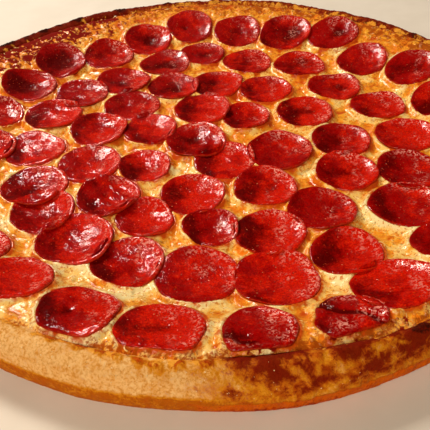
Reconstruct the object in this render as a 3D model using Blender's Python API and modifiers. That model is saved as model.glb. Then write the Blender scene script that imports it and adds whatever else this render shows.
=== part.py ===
"""A round pepperoni pizza, whole and uncut: baked crust, cheese and the sausage slices that lie on it.

Lengths are in metres unless a name ends in _MM, and +Z is up. The side that faces the photo's camera is -Y.
"""

import math
import random

import bmesh
import bpy
from mathutils import Vector, noise

MM = 0.001

# Driving dimensions of the whole
PIZZA_RADIUS = 0.2254
OVAL = 0.0138
MIDDLE_HEIGHT = 0.007
CHEESE_THICKNESS = 0.0034
CLEARANCE = 0.0003
TURN_STEPS = 84

# The bed is the top of the cheese: flat in the middle, then climbing the inside of the rim
CLIMB_START = 0.64 * PIZZA_RADIUS
CLIMB_END = 0.93 * PIZZA_RADIUS
CLIMB_RISE = 0.0155
FRONT_EXTRA_RISE = 0.0010
BED_WAVE = 0.0006
BED_WAVE_LENGTH = 0.11

# Crust rim, seen in section
BORDER_BAND = 0.009
CREST_RADIUS = 0.958 * PIZZA_RADIUS
CREST_HEIGHT = 0.0240
SHOULDER = (0.986 * PIZZA_RADIUS, 0.0200)
SIDE = (0.999 * PIZZA_RADIUS, 0.0130)
WIDEST = (PIZZA_RADIUS, 0.0070)
LOWER_EDGE = (0.994 * PIZZA_RADIUS, 0.0022)
BASE_RADIUS = 0.978 * PIZZA_RADIUS

# Bumps of the rim: bearing in degrees from +X, height in mm, half width in degrees
BLISTERS = (
    (12, 1.8, 9),
    (48, 1.2, 8),
    (77, 1.4, 10),
    (118, 2.0, 9),
    (146, 1.3, 11),
    (188, 1.6, 9),
    (214, 1.1, 8),
    (243, 1.5, 9),
    (262, 1.0, 7),
    (284, 1.7, 8),
    (309, 3.2, 6),
    (337, 1.5, 10),
)

# Slices of sausage
SLICE_RADIUS_MM = 20.3
SLICE_SPREAD_MM = 0.7
SLICE_THICKNESS = 0.0021
SLICE_STEPS = 14
SLICE_LIFT = 0.0028
SLICE_LIFT_SPREAD = 0.0009
SLICE_BED_GAP = 0.0005
SLICE_SIDE_GAP = 0.0004
RIM_GAP = 0.0025
MOST_GROUPS = 58
LARGEST_GROUP = 3
LAID_LAST = (39, 38, 23)
SINK_INTO_LOWER = 0.0008

# The slices lie in five rings round a point a little nearer the camera than the middle.
# Each ring is its radius in mm, and for each slice its bearing in degrees anticlockwise from +X
# with the distance in mm that it lies outside its ring.
LAY_CENTRE = (0.0, -0.010)
RINGS = (
    (
        178,
        ((0, 0), (14, -1), (29, 5), (42, -9), (55, 10), (68, -1), (82, -4), (96, 3), (109, -7))
        + ((123, -16), (136, -1), (150, -9), (165, -10), (180, -18), (193, -6), (206, 0), (219, 0))
        + ((232, -3), (247, 1), (261, 2), (276, 4), (290, 8), (301, -2), (318, -3), (332, 0), (346, 0)),
    ),
    (
        131,
        ((1, 4), (20, 2), (38, -8), (57, 4), (76, -6), (93, 8), (108, -3), (128, -14), (145, -5), (161, -4))
        + ((181, -5), (201, -5), (214, -2), (230, -2), (247, -2), (265, 1), (283, 10), (302, 7), (327, 8), (343, 3)),
    ),
    (
        90,
        ((359, -1), (29, -11), (60, -6), (87, -6), (111, -3), (139, -8), (166, -4), (194, -3), (221, 0), (242, 2))
        + ((268, 1), (288, 12), (310, 11), (336, 5)),
    ),
    (50, ((53, -9), (99, -3), (157, 0), (209, 4), (256, 10), (301, 12), (344, -3))),
    (15, ((169, -2), (287, 8))),
)

# Slices that differ from the usual radius, by their number in the order above
ODD_RADIUS_MM = {
    6: 21.8,
    13: 18.1,
    21: 18.5,
    22: 17.7,
    23: 21.8,
    32: 18.8,
    40: 22.3,
    42: 23.0,
    43: 23.2,
    45: 21.7,
    56: 17.6,
    57: 16.4,
    61: 17.2,
    63: 18.9,
    64: 17.4,
    67: 22.0,
}

CRUST_COLOUR = (0.55, 0.29, 0.09)
CHEESE_COLOUR = (0.83, 0.47, 0.10)
SLICE_COLOUR = (0.36, 0.012, 0.008)


def clear_scene():
    """Remove whatever objects the scene starts with."""
    for obj in list(bpy.data.objects):
        bpy.data.objects.remove(obj, do_unlink=True)


def new_collection(name):
    collection = bpy.data.collections.new(name)
    bpy.context.scene.collection.children.link(collection)
    return collection


def new_material(name, colour, roughness):
    material = bpy.data.materials.new(name)
    material.use_nodes = True
    surface = material.node_tree.nodes["Principled BSDF"]
    surface.inputs["Base Color"].default_value = (*colour, 1.0)
    surface.inputs["Roughness"].default_value = roughness
    surface.inputs["Metallic"].default_value = 0.0
    material.diffuse_color = (*colour, 1.0)
    return material


def smooth_step(low, high, value):
    share = min(max((value - low) / (high - low), 0.0), 1.0)
    return share * share * (3.0 - 2.0 * share)


def round_radius(x, y):
    """Distance from the middle, with the oval of the whole taken out."""
    return math.hypot(x / (1.0 + OVAL), y / (1.0 - OVAL))


def plain_bed(radius):
    """Height of the bed at this distance from the middle, before it is made uneven."""
    return MIDDLE_HEIGHT + CLIMB_RISE * smooth_step(CLIMB_START, CLIMB_END, radius)


def bed_height(x, y):
    """Height of the top of the cheese, which slices and crust follow."""
    radius = round_radius(x, y)
    toward_front = -y / PIZZA_RADIUS
    climb = smooth_step(CLIMB_START, CLIMB_END, radius)
    wave = BED_WAVE * noise.noise(Vector((x, y, 0.0)) / BED_WAVE_LENGTH)
    return plain_bed(radius) + FRONT_EXTRA_RISE * toward_front * climb + wave


def edge_ripple(bearing):
    """Distance by which the border between cheese and rim wanders."""
    slow = 0.0016 * math.sin(5 * bearing + 0.6)
    quick = 0.0010 * math.sin(11 * bearing + 2.1)
    return slow + quick


def outline_factor(bearing):
    """Bulges and dents of the outline. Opposite sides match, so that the middle stays at the origin."""
    bulge = 0.0035 * math.cos(6 * bearing + 1.9)
    dent = 0.0025 * math.cos(14 * bearing + 0.8)
    return 1.0 + bulge + dent


def blister_height(bearing):
    """Sum of the rim's bumps at this bearing."""
    total = 0.0
    for place, height, half_width in BLISTERS:
        away = (math.degrees(bearing) - place + 180.0) % 360.0 - 180.0
        total += height * MM * math.exp(-((away / half_width) ** 2))
    return total


def turned(name, profile, steps, collection, material):
    """Turn a profile of (radius, height) points, from the axis down its outer side and back, into a mesh."""
    mesh = bpy.data.meshes.new(name + "_profile")
    points = [(radius, 0.0, height) for radius, height in profile]
    mesh.from_pydata(points, [(i, i + 1) for i in range(len(points) - 1)], [])
    obj = bpy.data.objects.new(name, mesh)
    collection.objects.link(obj)
    screw = obj.modifiers.new("turn", "SCREW")
    screw.axis = "Z"
    screw.steps = steps
    screw.render_steps = steps
    screw.use_merge_vertices = True
    screw.merge_threshold = 0.00001
    bpy.context.view_layer.update()
    solid = bpy.data.meshes.new_from_object(obj.evaluated_get(bpy.context.evaluated_depsgraph_get()))
    obj.modifiers.clear()
    obj.data = solid
    solid.name = name
    bpy.data.meshes.remove(mesh)
    solid.materials.clear()
    solid.materials.append(material)
    for face in solid.polygons:
        face.use_smooth = True
    return obj


def warp_sheet(obj, is_crust):
    """Give a turned sheet the bed's true heights, the wandering border and, on the crust, its uneven rim."""
    for vertex in obj.data.vertices:
        x, y, z = vertex.co
        radius = math.hypot(x, y)
        if radius < CLEARANCE:
            if z > CLEARANCE:
                vertex.co.z = z + bed_height(0.0, 0.0) - plain_bed(0.0)
            continue
        bearing = math.atan2(y, x)
        near_border = math.exp(-(((radius - CLIMB_END) / BORDER_BAND) ** 2))
        new_radius = radius + edge_ripple(bearing) * near_border
        if is_crust:
            share = smooth_step(CLIMB_END, PIZZA_RADIUS, radius)
            new_radius *= 1.0 + (outline_factor(bearing) - 1.0) * share
        new_x = new_radius * math.cos(bearing) * (1.0 + OVAL)
        new_y = new_radius * math.sin(bearing) * (1.0 - OVAL)
        uneven = bed_height(new_x, new_y) - plain_bed(round_radius(new_x, new_y))
        if is_crust and z < CLEARANCE:
            new_z = z
        elif is_crust and radius > CLIMB_END + 2 * CLEARANCE:
            new_z = z * (CREST_HEIGHT + uneven + blister_height(bearing)) / CREST_HEIGHT
        else:
            new_z = z + uneven
        vertex.co = (new_x, new_y, new_z)


def build_crust(collection, material):
    """Flat-bottomed dough disc with a puffy rim, solid right through."""
    below = CHEESE_THICKNESS + CLEARANCE
    stations = (0.0, 0.100, CLIMB_START, 0.164, 0.182, 0.198)
    profile = [(radius, plain_bed(radius) - below) for radius in stations]
    border = CLIMB_END + CLEARANCE
    profile += [
        (border, plain_bed(CLIMB_END) - below),
        (border + 0.0008, plain_bed(CLIMB_END) + 0.0002),
        (CREST_RADIUS, CREST_HEIGHT),
        SHOULDER,
        SIDE,
        WIDEST,
        LOWER_EDGE,
        (BASE_RADIUS, 0.0),
        (0.0, 0.0),
    ]
    crust = turned("crust", profile, TURN_STEPS, collection, material)
    warp_sheet(crust, is_crust=True)
    return crust


def build_cheese(collection, material):
    """Closed sheet of cheese and sauce that follows the bed and ends at the rim."""
    top = (0.0, 0.035, 0.070, 0.100, 0.125, CLIMB_START, 0.158, 0.170, 0.182, 0.192, 0.202)
    profile = [(radius, plain_bed(radius)) for radius in top]
    profile.append((CLIMB_END - 0.0010, plain_bed(CLIMB_END) - 0.0002))
    profile.append((CLIMB_END, plain_bed(CLIMB_END) - 0.0010))
    profile.append((CLIMB_END, plain_bed(CLIMB_END) - CHEESE_THICKNESS))
    bottom = (0.198, 0.182, 0.164, CLIMB_START, 0.100, 0.0)
    profile += [(radius, plain_bed(radius) - CHEESE_THICKNESS) for radius in bottom]
    cheese = turned("cheese", profile, TURN_STEPS, collection, material)
    warp_sheet(cheese, is_crust=False)
    return cheese


class Slice:
    """One slice of sausage: where it lies, how large it is and how it curls."""

    def __init__(self, number, x, y):
        draw = random.Random(number)
        usual = SLICE_RADIUS_MM + draw.uniform(-SLICE_SPREAD_MM, SLICE_SPREAD_MM)
        self.number = number
        self.x = x
        self.y = y
        self.radius = ODD_RADIUS_MM.get(number, usual) * MM
        on_slope = smooth_step(CLIMB_START, CLIMB_END, round_radius(x, y))
        usual_lift = SLICE_LIFT + draw.uniform(-SLICE_LIFT_SPREAD, SLICE_LIFT_SPREAD)
        self.lift = usual_lift * (1.0 - 0.5 * on_slope)
        self.oval = draw.uniform(0.0, 0.035)
        self.oval_bearing = draw.uniform(0.0, math.pi)
        self.curl_bearing = draw.uniform(0.0, math.tau)

    def distance(self, other):
        return math.hypot(other.x - self.x, other.y - self.y)

    def overlap(self, other):
        return self.radius + other.radius - self.distance(other)

    def reach(self, bearing, neighbours):
        """Distance from the slice's middle to its edge, kept clear of neighbours and of the rim."""
        reach = self.radius * (1.0 + self.oval * math.cos(2 * (bearing - self.oval_bearing)))
        for other in neighbours:
            toward = math.atan2(other.y - self.y, other.x - self.x)
            facing = math.cos(bearing - toward)
            if facing > 0.05:
                share = self.distance(other) * self.radius / (self.radius + other.radius)
                reach = min(reach, (share - SLICE_SIDE_GAP) / facing)
        outward = math.atan2(self.y, self.x)
        facing = math.cos(bearing - outward)
        if facing > 0.05:
            room = CLIMB_END - RIM_GAP - round_radius(self.x, self.y)
            reach = min(reach, room / facing)
        return reach

    def top_height(self, x, y):
        """Height of this slice's upper face at a point over it, or None beside it."""
        share = math.hypot(x - self.x, y - self.y) / self.radius
        if share > 1.0:
            return None
        return bed_height(x, y) + SLICE_BED_GAP + self.lift * share**2 + SLICE_THICKNESS


def lay_slices():
    """All slices in the order of RINGS, numbered from 1."""
    slices = []
    for ring_radius_mm, places in RINGS:
        for bearing_degrees, step_out_mm in places:
            bearing = math.radians(bearing_degrees)
            radius = (ring_radius_mm + step_out_mm) * MM
            x = LAY_CENTRE[0] + radius * math.cos(bearing)
            y = LAY_CENTRE[1] + radius * math.sin(bearing)
            slices.append(Slice(len(slices) + 1, x, y))
    return slices


def group_slices(slices):
    """The slices in as many groups as there may be nodes for them: those that overlap most are one piece.

    The slices of a group come in the order in which they were laid, the lowest first.
    """
    pairs = [(one, other) for one in slices for other in slices if one.number < other.number]
    pairs.sort(key=lambda pair: -pair[0].overlap(pair[1]))
    group_of = {one.number: {one.number} for one in slices}
    groups_left = len(slices)
    for one, other in pairs:
        merged = group_of[one.number] | group_of[other.number]
        is_new = group_of[one.number] is not group_of[other.number]
        if groups_left > MOST_GROUPS and is_new and len(merged) <= LARGEST_GROUP:
            groups_left -= 1
            for number in merged:
                group_of[number] = merged
    firsts = [one for one in slices if one.number == min(group_of[one.number])]
    groups = [[slices[number - 1] for number in sorted(group_of[first.number])] for first in firsts]
    for group in groups:
        group.sort(key=lambda one: LAID_LAST.index(one.number) if one.number in LAID_LAST else -1)
    return groups


def build_slice(one, lower, neighbours, name, collection, material):
    """One cupped slice. Where it lies over a lower slice of its group it rises and sinks into it a little."""
    full = one.radius
    profile = (
        (0.0, SLICE_THICKNESS),
        (0.60 * full, SLICE_THICKNESS),
        (full, 0.85 * SLICE_THICKNESS),
        (0.95 * full, 0.0),
        (0.55 * full, 0.0),
        (0.0, 0.0),
    )
    obj = turned(name, profile, SLICE_STEPS, collection, material)
    for vertex in obj.data.vertices:
        x, y, z = vertex.co
        share = math.hypot(x, y) / full
        bearing = math.atan2(y, x)
        reach = one.reach(bearing, neighbours) * share
        world_x = one.x + reach * math.cos(bearing)
        world_y = one.y + reach * math.sin(bearing)
        curl = 1.0 + 0.35 * math.cos(2 * (bearing - one.curl_bearing))
        floor = bed_height(world_x, world_y) + SLICE_BED_GAP + one.lift * curl * share**2
        for below in lower:
            resting = below.top_height(world_x, world_y)
            if resting is not None:
                floor = max(floor, resting - SINK_INTO_LOWER)
        vertex.co = (world_x, world_y, floor + z)
    return obj


def keep_largest_shell(mesh):
    """Drop the scraps and sealed hollows that a union can leave."""
    work = bmesh.new()
    work.from_mesh(mesh)
    bmesh.ops.remove_doubles(work, verts=work.verts, dist=0.000001)
    unseen = set(work.verts)
    shells = []
    while unseen:
        shell = set()
        stack = [unseen.pop()]
        while stack:
            vertex = stack.pop()
            shell.add(vertex)
            for edge in vertex.link_edges:
                other = edge.other_vert(vertex)
                if other in unseen:
                    unseen.remove(other)
                    stack.append(other)
        shells.append(shell)
    shells.sort(key=len)
    for shell in shells[:-1]:
        bmesh.ops.delete(work, geom=list(shell), context="VERTS")
    work.to_mesh(mesh)
    work.free()


def fuse(members, name):
    """One applied union of slices that overlap. The first member is kept and the others are removed."""
    kept = members[0]
    others = new_collection(name + "_others")
    for obj in members[1:]:
        others.objects.link(obj)
    union = kept.modifiers.new("fuse", "BOOLEAN")
    union.operation = "UNION"
    union.operand_type = "COLLECTION"
    union.collection = others
    union.solver = "MANIFOLD"
    bpy.context.view_layer.update()
    joined = bpy.data.meshes.new_from_object(kept.evaluated_get(bpy.context.evaluated_depsgraph_get()))
    kept.modifiers.clear()
    kept.data = joined
    keep_largest_shell(joined)
    for obj in members[1:]:
        bpy.data.objects.remove(obj, do_unlink=True)
    bpy.data.collections.remove(others)
    return kept


def build_group(group, slices, collection, material):
    """The node of one group of slices, named for the numbers in it."""
    name = "slice_" + "_".join(f"{number:02d}" for number in sorted(one.number for one in group))
    inside = {one.number for one in group}
    members = []
    for index, one in enumerate(group):
        neighbours = [
            other for other in slices if other.number not in inside and one.overlap(other) > -2 * SLICE_SIDE_GAP
        ]
        part_name = name if index == 0 else f"{name}_part{index}"
        members.append(build_slice(one, group[:index], neighbours, part_name, collection, material))
    if len(members) > 1:
        return fuse(members, name)
    return members[0]


def main():
    clear_scene()
    pizza = new_collection("pepperoni_pizza")
    crust_material = new_material("baked_crust", CRUST_COLOUR, 0.75)
    cheese_material = new_material("melted_cheese", CHEESE_COLOUR, 0.35)
    slice_material = new_material("pepperoni", SLICE_COLOUR, 0.25)
    build_crust(pizza, crust_material)
    build_cheese(pizza, cheese_material)
    slices = lay_slices()
    for group in group_slices(slices):
        build_group(group, slices, pizza, slice_material)


main()
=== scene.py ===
"""A whole pepperoni pizza, dressed: baked crust, melted cheese and the sausage slices that lie on it.

Lengths are in metres unless a name ends in _mm, and +Z is up. The side that faces the camera is -Y.
"""

import functools
import logging
import math
import random
from dataclasses import dataclass
from enum import Enum

import bmesh
import bpy
import numpy as np
from mathutils import Matrix, Vector, geometry, noise


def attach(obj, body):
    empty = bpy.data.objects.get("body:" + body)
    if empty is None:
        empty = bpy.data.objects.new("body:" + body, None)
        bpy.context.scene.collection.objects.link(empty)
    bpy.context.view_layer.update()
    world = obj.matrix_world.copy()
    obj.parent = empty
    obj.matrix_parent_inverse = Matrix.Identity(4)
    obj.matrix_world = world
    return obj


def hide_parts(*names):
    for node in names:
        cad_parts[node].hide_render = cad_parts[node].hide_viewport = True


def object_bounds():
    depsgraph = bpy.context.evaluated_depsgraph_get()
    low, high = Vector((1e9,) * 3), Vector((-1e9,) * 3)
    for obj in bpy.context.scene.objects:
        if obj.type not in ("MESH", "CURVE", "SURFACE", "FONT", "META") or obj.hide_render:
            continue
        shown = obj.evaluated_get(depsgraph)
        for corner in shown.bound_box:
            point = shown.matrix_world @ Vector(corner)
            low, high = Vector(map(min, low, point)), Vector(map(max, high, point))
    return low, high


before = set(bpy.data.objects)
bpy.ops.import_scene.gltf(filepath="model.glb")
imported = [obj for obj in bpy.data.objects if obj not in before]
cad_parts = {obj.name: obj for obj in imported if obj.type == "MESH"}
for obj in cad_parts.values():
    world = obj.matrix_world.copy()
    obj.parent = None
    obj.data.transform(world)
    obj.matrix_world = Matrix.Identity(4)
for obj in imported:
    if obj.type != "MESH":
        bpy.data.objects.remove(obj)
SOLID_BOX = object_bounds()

LOG = logging.getLogger("pizza")
Array = np.ndarray
Socket = bpy.types.NodeSocket

MM = 0.001

# Sizes that the solids have too
PIZZA_RADIUS = 0.2254
OVAL = 0.0138
MIDDLE_HEIGHT = 0.007
CHEESE_THICKNESS = 0.0034
CLIMB_START = 0.64 * PIZZA_RADIUS
CLIMB_END = 0.93 * PIZZA_RADIUS
CLIMB_RISE = 0.0155
FRONT_EXTRA_RISE = 0.0010
BED_WAVE = 0.0006
BED_WAVE_LENGTH = 0.11
BORDER_BAND = 0.009
CREST_HEIGHT = 0.0240
LAY_CENTRE = (0.0, -0.010)

# Half the side of the square that the height fields cover
FIELD_REACH = 0.24
# Depth of the dough's top below the underside of the cheese
DOUGH_GAP = 0.0006
# Least height of a slice's underside over the bed
SLICE_GAP = 0.0005
# Slices that have cooked limp spread a little past their solids
SLICE_SPREAD = 1.035


class Slot(Enum):
    """Material slots of the record."""

    CRUST = "baked_crust"
    CHEESE = "melted_cheese"
    SAUSAGE = "pepperoni"


class Form(Enum):
    """How a slice has curled in the oven."""

    CUPPED = "cupped"
    BROAD = "broad"
    RIDGED = "two ridges"
    DIMPLED = "deep dimple"
    PITTED = "small pit"
    FOLDED = "folded over at the near side"
    CREASED = "creased across"
    NOTCHED = "far edge pulled in"


def smooth_step(low: float, high: float, value: Array) -> Array:
    """Soft step from 0 at low to 1 at high."""
    share = np.clip((np.asarray(value, float) - low) / (high - low), 0.0, 1.0)
    return share * share * (3.0 - 2.0 * share)


def bump_at(value: Array, middle: float, width: float) -> Array:
    """Bell curve of height 1 at middle."""
    return np.exp(-(((value - middle) / width) ** 2))


def spot_at(x: Array, y: Array, at_x: float, at_y: float, width: float) -> Array:
    """Round bell of height 1 over a place."""
    return bump_at(np.hypot(x - at_x, y - at_y), 0.0, width)


def degrees_away(bearing: Array, place: float) -> Array:
    """Signed degrees from a place on the rim to each bearing."""
    return (np.degrees(bearing) - place + 180.0) % 360.0 - 180.0


def around(bearing: Array, place: float, width: float) -> Array:
    """Bell curve of height 1 at a place on the rim, by degrees."""
    return bump_at(degrees_away(bearing, place), 0.0, width)


def past_either(bearing: Array, one: tuple[float, float], other: tuple[float, float]) -> Array:
    """1 past either of two soft steps round the rim, each given by the degrees where it starts and is full.

    Args:
        bearing: Bearing of each point.
        one: First and last bearing of one step.
        other: First and last bearing of the other.

    Returns:
        Shares from 0 to 1.
    """
    degrees = np.degrees(bearing) % 360
    return np.clip(smooth_step(*one, degrees) + smooth_step(*other, degrees), 0, 1)


@functools.lru_cache(maxsize=None)
def lattice(seed: int) -> tuple[Array, Array, Array]:
    """Random numbers on a square lattice that repeats after 256 cells."""
    draw = np.random.default_rng(seed)
    return draw.random((256, 256)), draw.random((256, 256)), draw.random((256, 256))


@dataclass(frozen=True)
class Grain:
    """Seeded smooth noise over a plane, for whatever is uneven.

    Args:
        seed: Number that fixes the pattern.
    """

    seed: int

    def ripple(self, x: Array, y: Array, size: float) -> Array:
        """One layer of rounded ups and downs.

        Args:
            x: Places across.
            y: Places along.
            size: Distance between a rise and the next.

        Returns:
            Heights between about -1 and 1.
        """
        turn = lattice(self.seed)[0] * math.tau
        u, v = x / size, y / size
        i, j = np.floor(u).astype(int), np.floor(v).astype(int)
        fu, fv = u - i, v - j
        su = fu**3 * (fu * (fu * 6 - 15) + 10)
        sv = fv**3 * (fv * (fv * 6 - 15) + 10)

        def corner(a: int, b: int) -> Array:
            """Slope of one lattice corner, followed to the place."""
            angle = turn[(i + a) & 255, (j + b) & 255]
            return np.cos(angle) * (fu - a) + np.sin(angle) * (fv - b)

        near = corner(0, 0) * (1 - su) + corner(1, 0) * su
        far = corner(0, 1) * (1 - su) + corner(1, 1) * su
        return 1.5 * (near * (1 - sv) + far * sv)

    def layers(self, x: Array, y: Array, size: float, count: int = 3, gain: float = 0.5) -> Array:
        """Several ripples, each finer and lower than the last.

        Args:
            x: Places across.
            y: Places along.
            size: Size of the coarsest layer.
            count: How many layers.
            gain: Height of each layer as a share of the one before.

        Returns:
            Heights between about -1 and 1.
        """
        total = np.zeros_like(x, dtype=float)
        weight, whole = 1.0, 0.0
        for level in range(count):
            cos, sin = math.cos(0.9 * level + 0.4), math.sin(0.9 * level + 0.4)
            total += weight * self.ripple(cos * x - sin * y, sin * x + cos * y + 3 * level, size / 2.1**level)
            whole += weight
            weight *= gain
        return total / whole**0.7

    def cells(self, x: Array, y: Array, size: float) -> tuple[Array, Array]:
        """The nearest of a set of scattered points.

        Args:
            x: Places across.
            y: Places along.
            size: Usual distance between two of the points.

        Returns:
            Distance to the nearest point, in sizes, and that point's own number from 0 to 1.
        """
        across, along, own = lattice(self.seed)
        u, v = x / size, y / size
        i, j = np.floor(u).astype(int), np.floor(v).astype(int)
        nearest = np.full(u.shape, 9.0)
        number = np.zeros(u.shape)
        for a in (-1, 0, 1):
            for b in (-1, 0, 1):
                k, m = (i + a) & 255, (j + b) & 255
                away = np.hypot(i + a + across[k, m] - u, j + b + along[k, m] - v)
                closer = away < nearest
                nearest = np.where(closer, away, nearest)
                number = np.where(closer, own[k, m], number)
        return nearest, number


class Plot:
    """A square field of heights that can be read between its cells.

    Args:
        cells: Cells along a side.
    """

    def __init__(self, cells: int) -> None:
        """Start with a field of zeros."""
        self.cells = cells
        self.values = np.zeros((cells, cells))
        line = np.linspace(-FIELD_REACH, FIELD_REACH, cells)
        self.x, self.y = np.meshgrid(line, line, indexing="ij")

    def read(self, x: Array, y: Array) -> Array:
        """Heights at any places, blended between the four nearest cells.

        Args:
            x: Places across.
            y: Places along.

        Returns:
            The heights.
        """
        scale = (self.cells - 1) / (2 * FIELD_REACH)
        u = np.clip((x + FIELD_REACH) * scale, 0, self.cells - 1.001)
        v = np.clip((y + FIELD_REACH) * scale, 0, self.cells - 1.001)
        i, j = u.astype(int), v.astype(int)
        fu, fv = u - i, v - j
        near = self.values[i, j] * (1 - fu) + self.values[i + 1, j] * fu
        far = self.values[i, j + 1] * (1 - fu) + self.values[i + 1, j + 1] * fu
        return near * (1 - fv) + far * fv

    def read_softly(self, x: Array, y: Array, blur: float) -> Array:
        """Heights averaged over a small disc round each place.

        Args:
            x: Places across.
            y: Places along.
            blur: Radius of the disc.

        Returns:
            The averages.
        """
        total = self.read(x, y)
        count = 1
        for ring, number in ((0.5, 5), (1.0, 8)):
            for step in range(number):
                angle = math.tau * (step + 0.5 * ring) / number
                step_x, step_y = ring * blur * math.cos(angle), ring * blur * math.sin(angle)
                total = total + self.read(x + step_x, y + step_y)
                count += 1
        return total / count


class Bed:
    """The surface that slices and crust follow, as in the solids: a shallow dish with a slow wave."""

    # Where the cheese has run out over the rim: bearing in degrees, how far in mm, and half width in degrees
    spills = (
        (263.5, 6.0, 6.0), (296, 3.2, 5.0), (247, 1.2, 4.0), (222, 2.0, 6.0), (196, 1.5, 5.0), (18, 2.0, 6.0),
        (41, 2.6, 7.0),
    )
    # Dark baked places along the border: bearing in degrees and half width in degrees
    dark_places = ((275.5, 4.0), (285.8, 2.4), (294.6, 2.6), (131, 9.0), (146, 8.0), (117, 5.0))

    def __init__(self) -> None:
        """Lay out the slow wave once."""
        self.wave = Plot(97)
        self.wave.values = np.array(
            [
                [noise.noise(Vector((x, y, 0.0)) / BED_WAVE_LENGTH) for x, y in zip(row_x, row_y)]
                for row_x, row_y in zip(self.wave.x.tolist(), self.wave.y.tolist())
            ]
        )

    @staticmethod
    def round_radius(x: Array, y: Array) -> Array:
        """Distance from the middle, with the oval of the whole taken out."""
        return np.hypot(x / (1.0 + OVAL), y / (1.0 - OVAL))

    @staticmethod
    def plain(radius: Array) -> Array:
        """Height at a distance from the middle, before it is made uneven."""
        return MIDDLE_HEIGHT + CLIMB_RISE * smooth_step(CLIMB_START, CLIMB_END, radius)

    def height(self, x: Array, y: Array) -> Array:
        """True height of the bed.

        Args:
            x: Places across.
            y: Places along.

        Returns:
            The height at each place.
        """
        radius = self.round_radius(x, y)
        front = FRONT_EXTRA_RISE * (-y / PIZZA_RADIUS) * smooth_step(CLIMB_START, CLIMB_END, radius)
        return self.plain(radius) + front + BED_WAVE * self.wave.read(x, y)

    @staticmethod
    def border_ripple(bearing: Array) -> Array:
        """Distance by which the border between cheese and rim wanders."""
        return 0.0016 * np.sin(5 * bearing + 0.6) + 0.0010 * np.sin(11 * bearing + 2.1)

    def cheese_edge(self, bearing: Array) -> Array:
        """Where the melted cheese ends.

        Args:
            bearing: Bearings from the middle.

        Returns:
            Distance from the middle to the edge of the cheese, before the oval.
        """
        x, y = np.cos(bearing), np.sin(bearing)
        wander = 0.0017 * Grain(37).layers(x * 0.2, y * 0.2, 0.010, 4, 0.6)
        spill = sum(mm * MM * around(bearing, place, width) for place, mm, width in self.spills)
        return CLIMB_END + 0.0008 + 0.6 * self.border_ripple(bearing) + wander + spill

    def inward(self, x: Array, y: Array) -> Array:
        """Distance from each place out to the edge of the cheese."""
        return self.cheese_edge(np.arctan2(y, x)) - self.round_radius(x, y)

    def darkness(self, bearing: Array) -> Array:
        """How dark the border has baked, from 0 to 1."""
        return sum(around(bearing, place, width) for place, width in self.dark_places)

    @staticmethod
    def outline_factor(bearing: Array) -> Array:
        """Bulges and dents of the outline."""
        return 1.0 + 0.0035 * np.cos(6 * bearing + 1.9) + 0.0025 * np.cos(14 * bearing + 0.8)


def mesh_piece(name: str, points: Array, faces: list, marks: dict[str, Array]) -> bpy.types.Object:
    """A smooth mesh object in the scene, with a number of its own at each point for each mark.

    Args:
        name: Name of the object and of its mesh.
        points: One row for each point.
        faces: Point numbers of each face, anticlockwise from outside.
        marks: Values at the points, by the name that the finishes read.

    Returns:
        The new object, at the origin.
    """
    mesh = bpy.data.meshes.new(name)
    mesh.vertices.add(len(points))
    mesh.vertices.foreach_set("co", np.ascontiguousarray(points, np.float32).ravel())
    sizes = np.array([len(face) for face in faces], np.int32)
    corners = np.fromiter((corner for face in faces for corner in face), np.int32)
    mesh.loops.add(len(corners))
    mesh.loops.foreach_set("vertex_index", corners)
    mesh.polygons.add(len(sizes))
    mesh.polygons.foreach_set("loop_start", np.concatenate(([0], np.cumsum(sizes)[:-1])).astype(np.int32))
    mesh.update(calc_edges=True)
    mesh.validate()
    mesh.polygons.foreach_set("use_smooth", np.ones(len(mesh.polygons), bool))
    for mark, values in marks.items():
        layer = mesh.attributes.new(mark, "FLOAT", "POINT")
        layer.data.foreach_set("value", np.ascontiguousarray(values, np.float32))
    return add_object(name, mesh)


def add_object(name: str, data: bpy.types.ID) -> bpy.types.Object:
    """A new object in the scene.

    Args:
        name: Its name.
        data: The mesh, curve or other data that it shows.

    Returns:
        The object, linked to the scene.
    """
    made = bpy.data.objects.new(name, data)
    bpy.context.scene.collection.objects.link(made)
    return made


def ring_faces(rows: int, steps: int, first: int, last: int) -> list:
    """Faces of a shape that is turned about an upright axis and closed at both ends.

    Args:
        rows: Rings of points from the upper pole, over the side, to the lower pole.
        steps: Points in each ring.
        first: Number of the upper pole's point.
        last: Number of the lower pole's point.

    Returns:
        Triangles at the poles and quads between the rings.
    """
    here = np.arange(steps)
    there = (here + 1) % steps
    faces = np.stack([np.full(steps, first), here, there], 1).tolist()
    for upper in range(0, (rows - 1) * steps, steps):
        lower = upper + steps
        faces += np.stack([upper + here, lower + here, lower + there, upper + there], 1).tolist()
    end = (rows - 1) * steps
    return faces + np.stack([np.full(steps, last), end + there, end + here], 1).tolist()


def curve_through(stations: Array, count: int) -> Array:
    """A smooth curve through given places.

    Args:
        stations: The places, one row each.
        count: How many points to give.

    Returns:
        Points at even distances along the curve.
    """
    padded = np.vstack([2 * stations[0] - stations[1], stations, 2 * stations[-1] - stations[-2]])
    dense = []
    for k in range(1, len(padded) - 2):
        before, a, b, after = padded[k - 1 : k + 3]
        for t in np.linspace(0, 1, 24, endpoint=False):
            bend = (2 * before - 5 * a + 4 * b - after) * t**2 + (3 * a - before - 3 * b + after) * t**3
            dense.append(0.5 * (2 * a + (b - before) * t + bend))
    dense = np.array([*dense, stations[-1]])
    along = np.concatenate([[0], np.cumsum(np.hypot(*np.diff(dense, axis=0).T))])
    even = np.linspace(0, along[-1], count)
    return np.stack([np.interp(even, along, dense[:, 0]), np.interp(even, along, dense[:, 1])], 1)


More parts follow.
